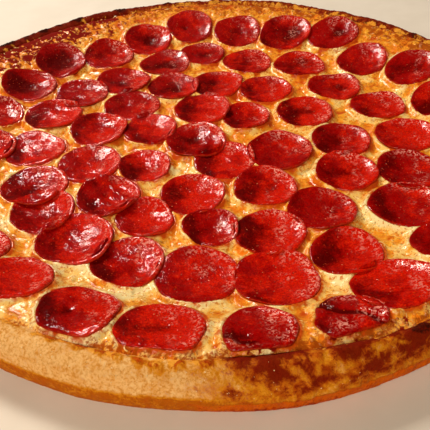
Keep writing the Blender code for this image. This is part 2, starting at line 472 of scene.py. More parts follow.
def feed(tree: bpy.types.NodeTree, socket: Socket, value: object) -> None:
    """Link a socket to another, or set its number or colour.

    Args:
        tree: The tree that both are in.
        socket: The input.
        value: A socket to link, or what to set.
    """
    if isinstance(value, Socket):
        tree.links.new(value, socket)
    elif isinstance(value, tuple) and socket.type == "RGBA":
        socket.default_value = (*value, 1.0)
    else:
        socket.default_value = value


def wire(tree: bpy.types.NodeTree, kind: str, inputs: dict, **settings: object) -> bpy.types.Node:
    """A new node.

    Args:
        tree: The tree that it goes into.
        kind: Blender's name for the kind of node.
        inputs: What its inputs get, by their names or numbers.
        settings: The node's own options.

    Returns:
        The node.
    """
    made = tree.nodes.new(kind)
    for key, value in settings.items():
        setattr(made, key, value)
    for key, value in inputs.items():
        feed(tree, made.inputs[key], value)
    return made


class Recipe:
    """A material's nodes, with short ways to add them.

    Args:
        name: Name of the material.
    """

    def __init__(self, name: str) -> None:
        """Start from the standard surface with the piece's own coordinates."""
        self.material = bpy.data.materials.new(name)
        self.material.use_nodes = True
        self.tree = self.material.node_tree
        self.place = self.tree.nodes.new("ShaderNodeTexCoord").outputs["Object"]

    def mark(self, name: str) -> Socket:
        """The piece's own numbers under this name."""
        return wire(self.tree, "ShaderNodeAttribute", {}, attribute_name=name).outputs["Fac"]

    def speckle(self, size: float, detail: float = 3.0, twist: float = 0.0, rough: float = 0.55) -> Socket:
        """Noise of this size over the piece."""
        inputs = {"Vector": self.place, "Scale": 1 / size}
        inputs |= {"Detail": detail, "Roughness": rough, "Distortion": twist}
        return wire(self.tree, "ShaderNodeTexNoise", inputs).outputs["Fac"]

    def dots(self, size: float) -> Socket:
        """Distance to the nearest of scattered points, in cell sizes."""
        inputs = {"Vector": self.place, "Scale": 1 / size}
        return wire(self.tree, "ShaderNodeTexVoronoi", inputs).outputs["Distance"]

    def span(self, value: object, low: float, high: float, first: float = 0.0, last: float = 1.0) -> Socket:
        """A value's range from low to high, drawn out softly to first and last and held there."""
        inputs = {"Value": value, "From Min": low, "From Max": high, "To Min": first, "To Max": last}
        made = wire(self.tree, "ShaderNodeMapRange", inputs, interpolation_type="SMOOTHSTEP")
        return made.outputs["Result"]

    def join(self, kind: str, one: object, other: object) -> Socket:
        """Arithmetic on two values: ADD, MULTIPLY or MAXIMUM."""
        return wire(self.tree, "ShaderNodeMath", {0: one, 1: other}, operation=kind).outputs[0]

    def uneven(self, value: object, speckle: Socket, low: float, high: float, amount: float) -> Socket:
        """A value, or the mark of this name, with a speckle's range added to it as -amount to amount."""
        value = self.mark(value) if isinstance(value, str) else value
        return self.join("ADD", value, self.span(speckle, low, high, -amount, amount))

    def blend(self, share: object, one: object, other: object, kind: str = "MIX") -> Socket:
        """Two colours mixed by a share."""
        inputs = {"Factor": share, 6: one, 7: other}
        return wire(self.tree, "ShaderNodeMix", inputs, data_type="RGBA", blend_type=kind).outputs[2]

    def coats(self, colour: object, *layers: tuple) -> Socket:
        """A colour with others laid over it in turn.

        Args:
            colour: The colour underneath.
            layers: For each, the value that it follows, where it starts and is full, its most and its colour.

        Returns:
            The colour of them all.
        """
        for value, low, high, most, over in layers:
            colour = self.blend(self.span(value, low, high, 0.0, most), colour, over)
        return colour

    def relief(self, height: object, distance: float, strength: float, under: object = None) -> Socket:
        """Bumps over the surface, on top of coarser ones if given.

        Args:
            height: Value that the bumps follow.
            distance: Their height in metres where the value is 1.
            strength: How much of it shows.
            under: Coarser bumps, as a normal.

        Returns:
            The normal that carries them.
        """
        inputs = {"Strength": strength, "Distance": distance, "Height": height}
        inputs |= {} if under is None else {"Normal": under}
        return wire(self.tree, "ShaderNodeBump", inputs).outputs["Normal"]

    def finish(self, **inputs: object) -> bpy.types.Material:
        """Put the last values on the surface.

        Args:
            inputs: The values, by the names of the surface's inputs.

        Returns:
            The finished material.
        """
        for key, value in inputs.items():
            name = key.replace("_", " ").title().replace("Ior", "IOR")
            feed(self.tree, self.tree.nodes["Principled BSDF"].inputs[name], value)
        return self.material


@dataclass(frozen=True)
class CrustFinish:
    """Baked dough: pale and floury in front, browner and blistered to the right and behind."""

    pale: tuple = (0.93, 0.52, 0.185)
    gold: tuple = (0.74, 0.27, 0.008)
    brown: tuple = (0.52, 0.120, 0.001)
    rust: tuple = (0.72, 0.130, 0.001)
    wine: tuple = (0.44, 0.022, 0.0005)
    red: tuple = (0.18, 0.0025, 0.0002)
    cheesy: tuple = (0.95, 0.40, 0.040)
    black: tuple = (0.034, 0.002, 0.0008)
    # Darkening laid in the dips of the fine bumps: the dough's grain, partly painted shade
    shade: tuple = (0.66, 0.50, 0.30)
    flour: tuple = (1.0, 0.72, 0.34)
    shine: float = 0.12
    shine_tint: tuple = (1.0, 0.72, 0.42)

    def material(self) -> bpy.types.Material:
        """The crust's material, coloured by the marks baked, red, melt and char."""
        recipe = Recipe("baked_crust_dressed")
        fine = recipe.speckle(0.0015, 4, 0.5, 0.65)
        patch = recipe.speckle(0.006, 4, 0.6)
        baked = recipe.uneven(recipe.uneven("baked", patch, 0.15, 0.85, 0.20), fine, 0.20, 0.80, -0.22)
        red = recipe.uneven(recipe.uneven("red", patch, 0.2, 0.8, 0.22), fine, 0.20, 0.80, 0.35)
        melt = recipe.uneven(recipe.uneven("melt", patch, 0.2, 0.8, 0.45), fine, 0.2, 0.8, 0.25)
        char = recipe.uneven("char", fine, 0.3, 0.7, 0.25)
        colour = recipe.coats(
            self.pale,
            (baked, -0.05, 0.62, 1.0, self.gold),
            (baked, 0.55, 1.0, 1.0, self.brown),
            (baked, 1.05, 1.45, 1.0, self.rust),
            (red, 0.12, 0.60, 0.60, self.wine),
            (red, 0.35, 0.95, 0.92, self.red),
            (melt, 0.45, 0.80, 0.9, self.cheesy),
            (char, 0.30, 1.00, 0.95, self.black),
        )
        # Darker in the dips of the fine bumps: the dough's grain, partly painted shade
        colour = recipe.blend(recipe.span(fine, 0.54, 0.36, 0.0, 0.45), colour, self.shade, "MULTIPLY")
        unbaked = recipe.span(recipe.mark("baked"), 0.20, 0.50, 1.0, 0.0)
        dust = recipe.join("MULTIPLY", recipe.span(fine, 0.52, 0.66, 0.0, 0.30), unbaked)
        return recipe.finish(
            base_color=recipe.blend(dust, colour, self.flour),
            roughness=recipe.span(red, 0.3, 0.8, 0.70, 0.88),
            normal=recipe.relief(fine, 0.0008, 0.8, recipe.relief(patch, 0.0012, 0.6)),
            specular_ior_level=self.shine,
            specular_tint=self.shine_tint,
        )


@dataclass(frozen=True)
class CheeseFinish:
    """Melted cheese: mottled yellow and orange, cream where it stands up, oily where it lies low, with dark oil
    colour as painted shadow along each slice's right side and paler cream as painted highlight on the lip at
    its left.
    """

    cream: tuple = (1.0, 0.62, 0.165)
    pale: tuple = (1.0, 0.79, 0.37)
    yellow: tuple = (0.99, 0.43, 0.030)
    orange: tuple = (0.90, 0.20, 0.004)
    freckle: tuple = (0.66, 0.18, 0.007)
    # Dark orange oil, which also serves as the painted shadow along each slice's right side
    oil: tuple = (0.62, 0.070, 0.002)
    brown: tuple = (0.40, 0.068, 0.002)
    sauce: tuple = (0.22, 0.004, 0.0008)
    herb: tuple = (0.20, 0.17, 0.05)
    shine: float = 0.12
    shine_tint: tuple = (1.0, 0.85, 0.60)
    coat_rough: float = 0.20

    def material(self) -> bpy.types.Material:
        """The cheese's material, coloured by the marks cream, freckle, oil, brown, sauce and herb."""
        recipe = Recipe("melted_cheese_dressed")
        fine = recipe.speckle(0.0016, 3, 0.8)
        patch = recipe.speckle(0.0065, 3, 1.4)
        cream = recipe.uneven("cream", fine, 0.3, 0.7, 0.26)
        freckle = recipe.join("ADD", recipe.speckle(0.0021, 2, 0.6), recipe.mark("freckle"))
        oil = recipe.uneven("oil", patch, 0.3, 0.7, 0.25)
        brown = recipe.uneven("brown", fine, 0.3, 0.7, 0.35)
        sauce = recipe.uneven("sauce", patch, 0.3, 0.7, 0.35)
        colour = recipe.coats(
            self.orange,
            (patch, 0.33, 0.58, 1.0, self.yellow),
            (cream, 0.32, 0.70, 1.0, self.cream),
            (cream, 0.80, 1.30, 1.0, self.pale),
            (freckle, 0.53, 0.66, 0.85, self.freckle),
            (oil, 0.20, 1.05, 1.0, self.oil),
            (brown, 0.30, 1.05, 0.95, self.brown),
            (sauce, 0.40, 0.70, 1.0, self.sauce),
        )
        crumbs = recipe.span(recipe.dots(0.0027), 0.16, 0.28, 1.0, 0.0)
        herb = recipe.join("MULTIPLY", recipe.mark("herb"), crumbs)
        normal = recipe.relief(fine, 0.00035, 0.40, recipe.relief(patch, 0.0012, 0.30))
        dull = recipe.join("MAXIMUM", brown, sauce)
        oily = recipe.span(oil, 0.25, 0.7, 0.34, 0.16)
        return recipe.finish(
            base_color=recipe.blend(recipe.join("MULTIPLY", herb, 0.75), colour, self.herb),
            roughness=recipe.join("MAXIMUM", oily, recipe.span(dull, 0.3, 0.7, 0.0, 0.95)),
            normal=normal,
            coat_weight=recipe.span(dull, 0.25, 0.60, 0.60, 0.0),
            coat_normal=normal,
            coat_roughness=self.coat_rough,
            specular_ior_level=self.shine,
            specular_tint=self.shine_tint,
        )


@dataclass(frozen=True)
class SausageFinish:
    """Cured sausage: deep red and oily, with painted shade in its dips and on one side and painted highlights
    near the rim on the other, specks of fat and a pale cut edge.
    """

    red: tuple = (0.36, 0.0006, 0.0002)
    bright: tuple = (0.66, 0.0070, 0.0003)
    # Colour of the painted shade, and of the fine dark mottling
    dark: tuple = (0.075, 0.0002, 0.0001)
    fleck: tuple = (0.88, 0.030, 0.003)
    # Pink of the painted highlights near the rims
    painted_highlight: tuple = (0.95, 0.36, 0.28)
    speck: tuple = (0.62, 0.05, 0.016)
    edge: tuple = (0.50, 0.045, 0.012)
    rough: float = 0.65
    shine: float = 0.02
    shine_tint: tuple = (1.0, 0.30, 0.22)
    coat_rough: float = 0.10

    def material(self) -> bpy.types.Material:
        """The slices' material: each slice's own redness with painted shading on it, painted shade, painted
        highlights and the cut edge.
        """
        recipe = Recipe("pepperoni_dressed")
        fine = recipe.speckle(0.0009, 3, 0.3)
        wrinkle = recipe.speckle(0.0026, 4, 0.8)
        patch = recipe.speckle(0.011, 3, 0.5)
        tone_and_shading = recipe.uneven("tone_and_shading", patch, 0.3, 0.7, 0.35)
        # Painted shade: darker in the dips, on one side and towards the back
        painted_shade = recipe.uneven("painted_shade", wrinkle, 0.3, 0.7, 0.16)
        edge = recipe.uneven("edge", wrinkle, 0.3, 0.7, 0.35)
        # Brighter red where the mark is high, which takes in the painted light on each slice's right side
        meat = (tone_and_shading, 0.2, 0.9, 1.0, self.bright), (painted_shade, 0.15, 1.1, 0.92, self.dark)
        colour = recipe.coats(self.red, *meat)
        fleck = recipe.span(recipe.speckle(0.0014, 3, 0.4), 0.50, 0.66)
        fleck = recipe.join("MULTIPLY", fleck, recipe.span(tone_and_shading, 0.1, 0.8, 0.1, 0.6))
        fleck = recipe.join("MULTIPLY", fleck, recipe.span(painted_shade, 0.25, 0.75, 1.0, 0.10))
        colour = recipe.coats(recipe.blend(fleck, colour, self.fleck), (fine, 0.54, 0.34, 0.45, self.dark))
        # Painted highlights: pink speckles over the marked bands
        painted_highlight = recipe.span(recipe.speckle(0.0017, 3, 0.7), 0.51, 0.57)
        painted_highlight = recipe.join("MULTIPLY", painted_highlight, recipe.mark("painted_highlight"))
        colour = recipe.blend(recipe.join("MULTIPLY", painted_highlight, 0.85), colour, self.painted_highlight)
        specks = recipe.span(recipe.dots(0.0023), 0.10, 0.22, 0.8, 0.0)
        specks = recipe.join("MULTIPLY", specks, recipe.span(patch, 0.5, 0.62))
        colour = recipe.coats(recipe.blend(specks, colour, self.speck), (edge, 0.60, 1.2, 0.65, self.edge))
        crackle = recipe.join("MULTIPLY", fine, recipe.span(recipe.speckle(0.0042, 2), 0.42, 0.60, 0.35, 1.0))
        film = recipe.span(recipe.speckle(0.0050, 2, 0.5), 0.36, 0.62, -0.12, 0.08)
        film = recipe.join("ADD", film, recipe.span(painted_shade, 0.1, 0.8, 0.03, -0.12))
        film = recipe.join("ADD", recipe.speckle(0.0010, 3, 0.3, 0.6), film)
        return recipe.finish(
            base_color=colour,
            roughness=self.rough,
            normal=recipe.relief(crackle, 0.0006, 0.80, recipe.relief(wrinkle, 0.0009, 0.40)),
            coat_weight=recipe.span(film, 0.48, 0.53, 0.0, 0.64),
            coat_normal=recipe.relief(crackle, 0.0004, 0.34, recipe.relief(wrinkle, 0.0007, 0.24)),
            coat_roughness=self.coat_rough,
            specular_ior_level=self.shine,
            specular_tint=self.shine_tint,
        )


@dataclass(frozen=True)
class BitFinish:
    """Finish of one kind of small bit.

    Args:
        name: Name of the material.
        one: Colour of most of it.
        other: Colour that it varies to.
        rough: Roughness.
        size: Size of the mottling.
    """

    name: str
    one: tuple
    other: tuple
    rough: float
    size: float = 0.0016

    def material(self) -> bpy.types.Material:
        """The bits' material, mottled between its two colours."""
        recipe = Recipe(self.name)
        mottle = recipe.speckle(self.size, 3, 0.4)
        colour = recipe.coats(self.one, (mottle, 0.35, 0.65, 1.0, self.other))
        normal = recipe.relief(mottle, 0.0003, 0.6)
        return recipe.finish(base_color=colour, roughness=self.rough, normal=normal)


FAT = BitFinish("fat", (0.62, 0.06, 0.02), (0.75, 0.24, 0.11), 0.22)
OIL = BitFinish("oil", (0.40, 0.010, 0.002), (0.55, 0.045, 0.004), 0.07)
CURLS = BitFinish("cheese_thread", (0.92, 0.62, 0.22), (0.84, 0.40, 0.07), 0.25)
BROWNED = BitFinish("browned_cheese", (0.62, 0.19, 0.015), (0.40, 0.090, 0.006), 0.35)
LEAF = BitFinish("dried_leaf", (0.10, 0.10, 0.030), (0.20, 0.17, 0.05), 0.8, 0.0005)
FLOUR = BitFinish("flour_grain", (0.90, 0.66, 0.34), (0.70, 0.42, 0.15), 0.8)


class Skin:
    """The crust's surface, with one value for each of its points.

    Args:
        grain: Noise of the dough.
        bearing: Bearing of each point.
        out: Distance out from the crest, over the surface.
        beyond: Distance beyond the cheese's edge.
        on_rim: 1 on the rim, and 0 on the dish and the base.
    """

    def __init__(self, grain: Grain, bearing: Array, out: Array, beyond: Array, on_rim: Array) -> None:
        """Work out the relief that both the shape and the browning follow."""
        self.grain, self.bearing, self.out, self.beyond, self.on_rim = grain, bearing, out, beyond, on_rim
        self.lumps = self.mottle(0.0, 0.017, 2)
        self.crags = self.mottle(0.0, 0.0055, 3)
        self.fine = self.mottle(0.0, 0.0021, 3, 0.6)
        self.folds = 1.0 - 2.0 * np.abs(self.mottle(1.0, 0.0075, 2))

    def mottle(self, shift: float, size: float, count: int, gain: float = 0.5, stretch: float = 1.0) -> Array:
        """Noise over the skin as if it were laid out flat round the crest.

        Args:
            shift: Step to another part of the pattern.
            size: Size of the coarsest layer.
            count: How many layers.
            gain: Height of each layer as a share of the one before.
            stretch: Share of the distance from the crest that counts.

        Returns:
            Heights between about -1 and 1.
        """
        away = PIZZA_RADIUS + stretch * self.out
        x, y = away * np.cos(self.bearing), away * np.sin(self.bearing)
        return self.grain.layers(x + shift, y, size, count, gain)


@dataclass
class Crust:
    """The dough: a flat-bottomed disc with a puffed rim, rough where it has blistered."""

    bed: Bed
    steps: int = 1640
    rim_rows: int = 40
    flat_rows: int = 5
    inner_ring: float = 0.03
    grain: Grain = Grain(11)
    # Slow rises of the rim: bearing in degrees, height in mm and half width in degrees
    blisters: tuple = (
        (12, 1.8, 9), (48, 1.2, 8), (77, 1.4, 10), (118, 2.0, 9), (146, 1.3, 11), (188, 1.6, 9),
        (214, 1.1, 8), (243, 1.5, 9), (262, 1.0, 7), (284, 1.7, 8), (309, 3.2, 6), (337, 1.5, 10),
    )
    # The rim's section, from the cheese over the crest to the base: radius and height
    stations: tuple = (
        (0.9300 * PIZZA_RADIUS - 0.0050, 0.0178), (0.9300 * PIZZA_RADIUS - 0.0008, 0.0205),
        (0.9330 * PIZZA_RADIUS + 0.0011, 0.0228), (0.9580 * PIZZA_RADIUS, CREST_HEIGHT),
        (0.9860 * PIZZA_RADIUS, 0.0200), (0.9990 * PIZZA_RADIUS, 0.0130), (PIZZA_RADIUS, 0.0070),
        (0.9940 * PIZZA_RADIUS, 0.0022), (0.9780 * PIZZA_RADIUS, 0.0),
    )
    # Browned bubbles where cheese and dough meet: bearing in degrees and width in mm
    seam_bubbles: tuple = (
        (248.5, 2.6), (252.5, 3.0), (255.2, 2.2), (257.6, 2.8), (260.2, 2.4), (262.6, 3.0), (265.3, 2.3),
        (268.4, 2.9), (272.5, 3.3), (279.5, 2.6), (287.5, 3.2), (292.0, 2.4), (236.0, 2.4), (229.0, 2.0),
    )
    # Bubbles of the rim: bearing in degrees, distance from the crest, width and height in mm, and how burnt
    bubbles: tuple = (
        (295.5, 1, 8.0, 2.6, 1.0), (284.5, 3, 5.5, 1.6, 0.25), (275.5, 2, 6.5, 1.3, 0.15),
        (289, -1, 4.5, 1.2, 0.4), (304, 3, 7.5, 1.4, 0.3), (317, 0, 9.0, 1.6, 0.2),
        (333, 2, 7.0, 1.5, 0.5), (351, 0, 8.0, 1.4, 0.25),
        (8, 1, 9.5, 1.6, 0.55), (21, 3, 6.0, 1.3, 0.3), (36, 0, 7.5, 1.4, 0.6), (57, 1, 8.0, 1.5, 0.35),
        (71, 2, 6.0, 1.4, 0.5), (88, 0, 8.0, 1.4, 0.45), (101, 2, 6.0, 1.5, 0.7), (113, 0, 8.0, 1.8, 0.8),
        (124, 1, 7.0, 1.5, 1.0), (133, 0, 6.5, 1.3, 0.9), (143, 2, 8.0, 1.5, 1.0), (155, 0, 7.0, 1.4, 0.8),
        (168, 1, 8.0, 1.3, 0.5), (183, 2, 8.5, 1.4, 0.25), (201, 0, 7.0, 1.0, 0.0), (226, 2, 9.0, 0.8, 0.0),
        (249, 0, 8.0, 0.9, 0.0), (266, 1, 6.0, 0.9, 0.05),
    )

    def profile(self) -> Array:
        """Rings from the middle of the top, over the rim, to the middle of the base.

        Returns:
            A row for each ring: its radius, its height, and 1 on the rim or 0 elsewhere.
        """
        rim = curve_through(np.array(self.stations), self.rim_rows)
        inner = np.linspace(self.inner_ring, rim[0, 0] - 0.004, self.flat_rows)
        top = np.stack([inner, self.bed.plain(inner) - CHEESE_THICKNESS - DOUGH_GAP], 1)
        flat = np.zeros(self.flat_rows)
        base = np.stack([np.linspace(rim[-1, 0] - 0.002, self.inner_ring, self.flat_rows), flat], 1)
        on_rim = np.concatenate([flat, np.ones(self.rim_rows), flat])
        return np.column_stack([np.vstack([top, rim, base]), on_rim])

    def stand(self, bearing: Array, radius: Array, height: Array) -> tuple[Array, Array, Array]:
        """Where the section's points stand round the pizza, before they have relief.

        Args:
            bearing: Bearing of each point.
            radius: Its radius in the section.
            height: Its height in the section.

        Returns:
            The places in x, y and z.
        """
        ripple = self.bed.border_ripple(bearing) * bump_at(radius, CLIMB_END, BORDER_BAND)
        bulge = (self.bed.outline_factor(bearing) - 1.0) * smooth_step(CLIMB_END, PIZZA_RADIUS, radius)
        new_radius = (radius + ripple) * (1.0 + bulge)
        x = new_radius * np.cos(bearing) * (1.0 + OVAL)
        y = new_radius * np.sin(bearing) * (1.0 - OVAL)
        uneven = self.bed.height(x, y) - self.bed.plain(self.bed.round_radius(x, y))
        blister = sum(rise * MM * around(bearing, place, width) for place, rise, width in self.blisters)
        scaled = height * (CREST_HEIGHT + uneven + blister) / CREST_HEIGHT
        z = np.where(radius > CLIMB_END, scaled, height + uneven)
        return x, y, np.where(height < 0.0001, 0.0, z)

    def raise_seam(self, skin: Skin) -> tuple[Array, Array]:
        """Bubbles where the cheese ends.

        Args:
            skin: Points of the crust.

        Returns:
            Their height in metres, and how brown they are.
        """
        height = np.zeros_like(skin.beyond)
        brown = np.zeros_like(skin.beyond)
        for place, width_mm in self.seam_bubbles:
            along = np.radians(degrees_away(skin.bearing, place)) * CLIMB_END
            away = np.hypot(along, skin.beyond - 0.0016) / (width_mm * MM)
            away = away * (1.0 + 0.2 * self.grain.ripple(along + place, skin.beyond, 0.003))
            height = np.maximum(height, 0.0009 * np.clip(1.0 - away**2, 0.0, 1.0) ** 0.7)
            brown = np.maximum(brown, 0.55 * bump_at(away, 0.85, 0.30) + 0.95 * bump_at(away, 0.0, 0.38))
        return height, brown

    def raise_bubbles(self, skin: Skin) -> tuple[Array, Array]:
        """Bubbles of the rim.

        Args:
            skin: Points of the crust.

        Returns:
            Their height in metres, and how burnt they are.
        """
        height = np.zeros_like(skin.out)
        burn = np.zeros_like(skin.out)
        for place, step_mm, width_mm, rise_mm, burnt in self.bubbles:
            along = np.radians(degrees_away(skin.bearing, place)) * PIZZA_RADIUS
            away = np.hypot(along, 1.2 * (skin.out - step_mm * MM)) / (width_mm * MM)
            wobble = 1.0 + 0.25 * self.grain.ripple(along + place, skin.out, 0.006)
            dome = np.clip(1.0 - (away * wobble) ** 2, 0.0, 1.0)
            height += rise_mm * MM * dome**0.75 * 0.7
            burn = np.maximum(burn, burnt * smooth_step(0.0, 0.7, dome))
        return height, burn

    def build(self) -> bpy.types.Object:
        """Make the crust's mesh with its marks baked, red, char, melt and flour.

        Returns:
            The crust.
        """
        rows = self.profile()
        bearing = np.broadcast_to(np.arange(self.steps) * math.tau / self.steps, (len(rows), self.steps))
        radius, height, on_rim = (np.broadcast_to(rows[:, k : k + 1], bearing.shape) for k in range(3))
        along = np.cumsum(np.concatenate([[0], np.hypot(np.diff(rows[:, 0]), np.diff(rows[:, 1]))]))
        out = np.broadcast_to((along - along[np.argmax(rows[:, 1])])[:, None], bearing.shape)
        skin = Skin(self.grain, bearing, out, radius - self.bed.cheese_edge(bearing), on_rim)
        x, y, z = self.stand(bearing, radius, height)

        rough_side = past_either(bearing, (262, 280), (190, 165))
        domes, burn = self.raise_bubbles(skin)
        knobs, knob_brown = self.raise_seam(skin)
        raised = domes + 0.0008 * skin.lumps + (0.00030 + 0.00055 * rough_side) * skin.crags
        folds = np.clip(skin.folds, 0, 1)
        raised += (0.00026 + 0.00010 * rough_side) * skin.fine + 0.0007 * rough_side * folds
        fade = on_rim * smooth_step(0.0008, 0.0035, z) * smooth_step(-0.0010, 0.0030, skin.beyond)
        knobs = knobs * on_rim * smooth_step(-0.0026, 0.0, skin.beyond)
        raised = np.clip(raised, -0.0012, 0.0034) * fade + knobs

        # On the rim's outer side the relief goes inward, so the pizza keeps its width
        step_r, step_z = np.gradient(rows[:, 0]), np.gradient(rows[:, 1])
        length = np.hypot(step_r, step_z)
        out_r, out_z = (step_z / length)[:, None], (step_r / length)[:, None]
        x = x + raised * out_r * np.cos(bearing)
        y = y + raised * out_r * np.sin(bearing)
        z = np.clip(z + raised * out_z, 0.0, SOLID_BOX[1][2])

        centre = float(self.bed.height(np.zeros(1), np.zeros(1))[0]) - CHEESE_THICKNESS - DOUGH_GAP
        points = np.vstack([np.stack([x, y, z], -1).reshape(-1, 3), [[0, 0, centre], [0, 0, 0]]])
        faces = ring_faces(len(rows), self.steps, len(points) - 2, len(points) - 1)
        return mesh_piece("crust_baked", points, faces, self.bake(skin, z, burn, knob_brown))

    def bake(self, skin: Skin, z: Array, burn: Array, knob_brown: Array) -> dict[str, Array]:
        """How the crust has baked.

        Args:
            skin: The crust's surface.
            z: Height of each point.
            burn: Burning of the rim's bubbles.
            knob_brown: Browning of the bubbles at the cheese's edge.

        Returns:
            The marks baked, red, char, melt and flour, with those of the two poles at the end.
        """
        bearing, out, on_rim = skin.bearing, skin.out, skin.on_rim
        crags, fine = skin.crags, skin.fine
        degrees = np.degrees(bearing) % 360
        right = smooth_step(262, 276, degrees) * (1 - smooth_step(350, 372, degrees))
        behind = past_either(bearing, (200, 150), (350, 372))
        back_left = around(bearing, 136, 26)
        broken = smooth_step(-0.3, 0.4, skin.mottle(5, 0.009, 2))
        seam = bump_at(skin.beyond, 0.0005, 0.0016) * on_rim * broken
        # A browner band low on the outer wall: browning from the oven floor, and partly painted shade on the
        # wall's lower part
        low = smooth_step(0.0150, 0.0122, z + 0.0014 * crags) * (1 - right)
        low = low + smooth_step(0.0108, 0.0090, z + 0.0010 * crags) * right
        baked = 0.16 + 0.50 * right + 0.55 * behind
        baked += (0.80 - 0.47 * behind) * low + 0.21 * low * right + 1.2 * seam
        baked += 0.18 * crags - 0.16 * fine
        baked += 0.9 * knob_brown * on_rim

        blotch = skin.mottle(2, 0.015, 3, stretch=1.6)
        red = 0.05 + 0.40 * burn + 0.5 * back_left + 0.30 * behind * np.clip(crags + 0.3, 0, 1)
        red += right * smooth_step(0.009, 0.019, z) * (0.20 + 0.95 * blotch + 0.40 * skin.folds)
        red += 0.18 * right + 0.4 * seam
        red += 0.35 * around(bearing, 276, 7) * smooth_step(0.008, 0.003, z)
        char = 0.85 * smooth_step(0.25, 1.1, burn + 0.25 * fine)
        char += 0.45 * back_left * smooth_step(-0.2, 0.6, crags)
        back_right = around(bearing, 44, 28) * bump_at(out, -0.0042, 0.0085) * (1.0 + 0.8 * crags)
        crest_line = np.maximum(behind * bump_at(out, 0.0008, 0.0052), back_right)
        char += (0.40 + 0.35 * crags) * crest_line
        dark = self.bed.darkness(bearing) * smooth_step(0.0105, 0.0015, skin.beyond + 0.002 * crags) * on_rim
        red += 0.85 * crest_line
        red += 0.55 * np.clip(knob_brown - 0.3, 0, 1) * on_rim
        red += dark * (0.75 + 0.5 * crags)

        melt = on_rim * smooth_step(0.0060, 0.0005, skin.beyond + 0.0018 * crags) * (0.55 + 0.5 * skin.lumps)
        melt = melt * (1.0 - np.clip(knob_brown, 0, 1)) - 0.5 * dark
        shreds = np.clip(0.15 + 1.6 * skin.mottle(9, 0.0046, 3, stretch=0.4), 0, 1)
        melt += 0.75 * behind * on_rim * smooth_step(0.0012, -0.0050, out) * shreds
        flour = (0.75 - baked) * (on_rim > 0) * smooth_step(0.003, 0.008, z)
        flour *= smooth_step(-0.006, -0.003, out)
        marks = {"baked": baked, "red": red, "char": char, "melt": melt, "flour": flour}
        poles = {name: [0.5, 0.5] if name == "baked" else [0.0, 0.0] for name in marks}
        return {name: np.append(values.ravel(), poles[name]) for name, values in marks.items()}


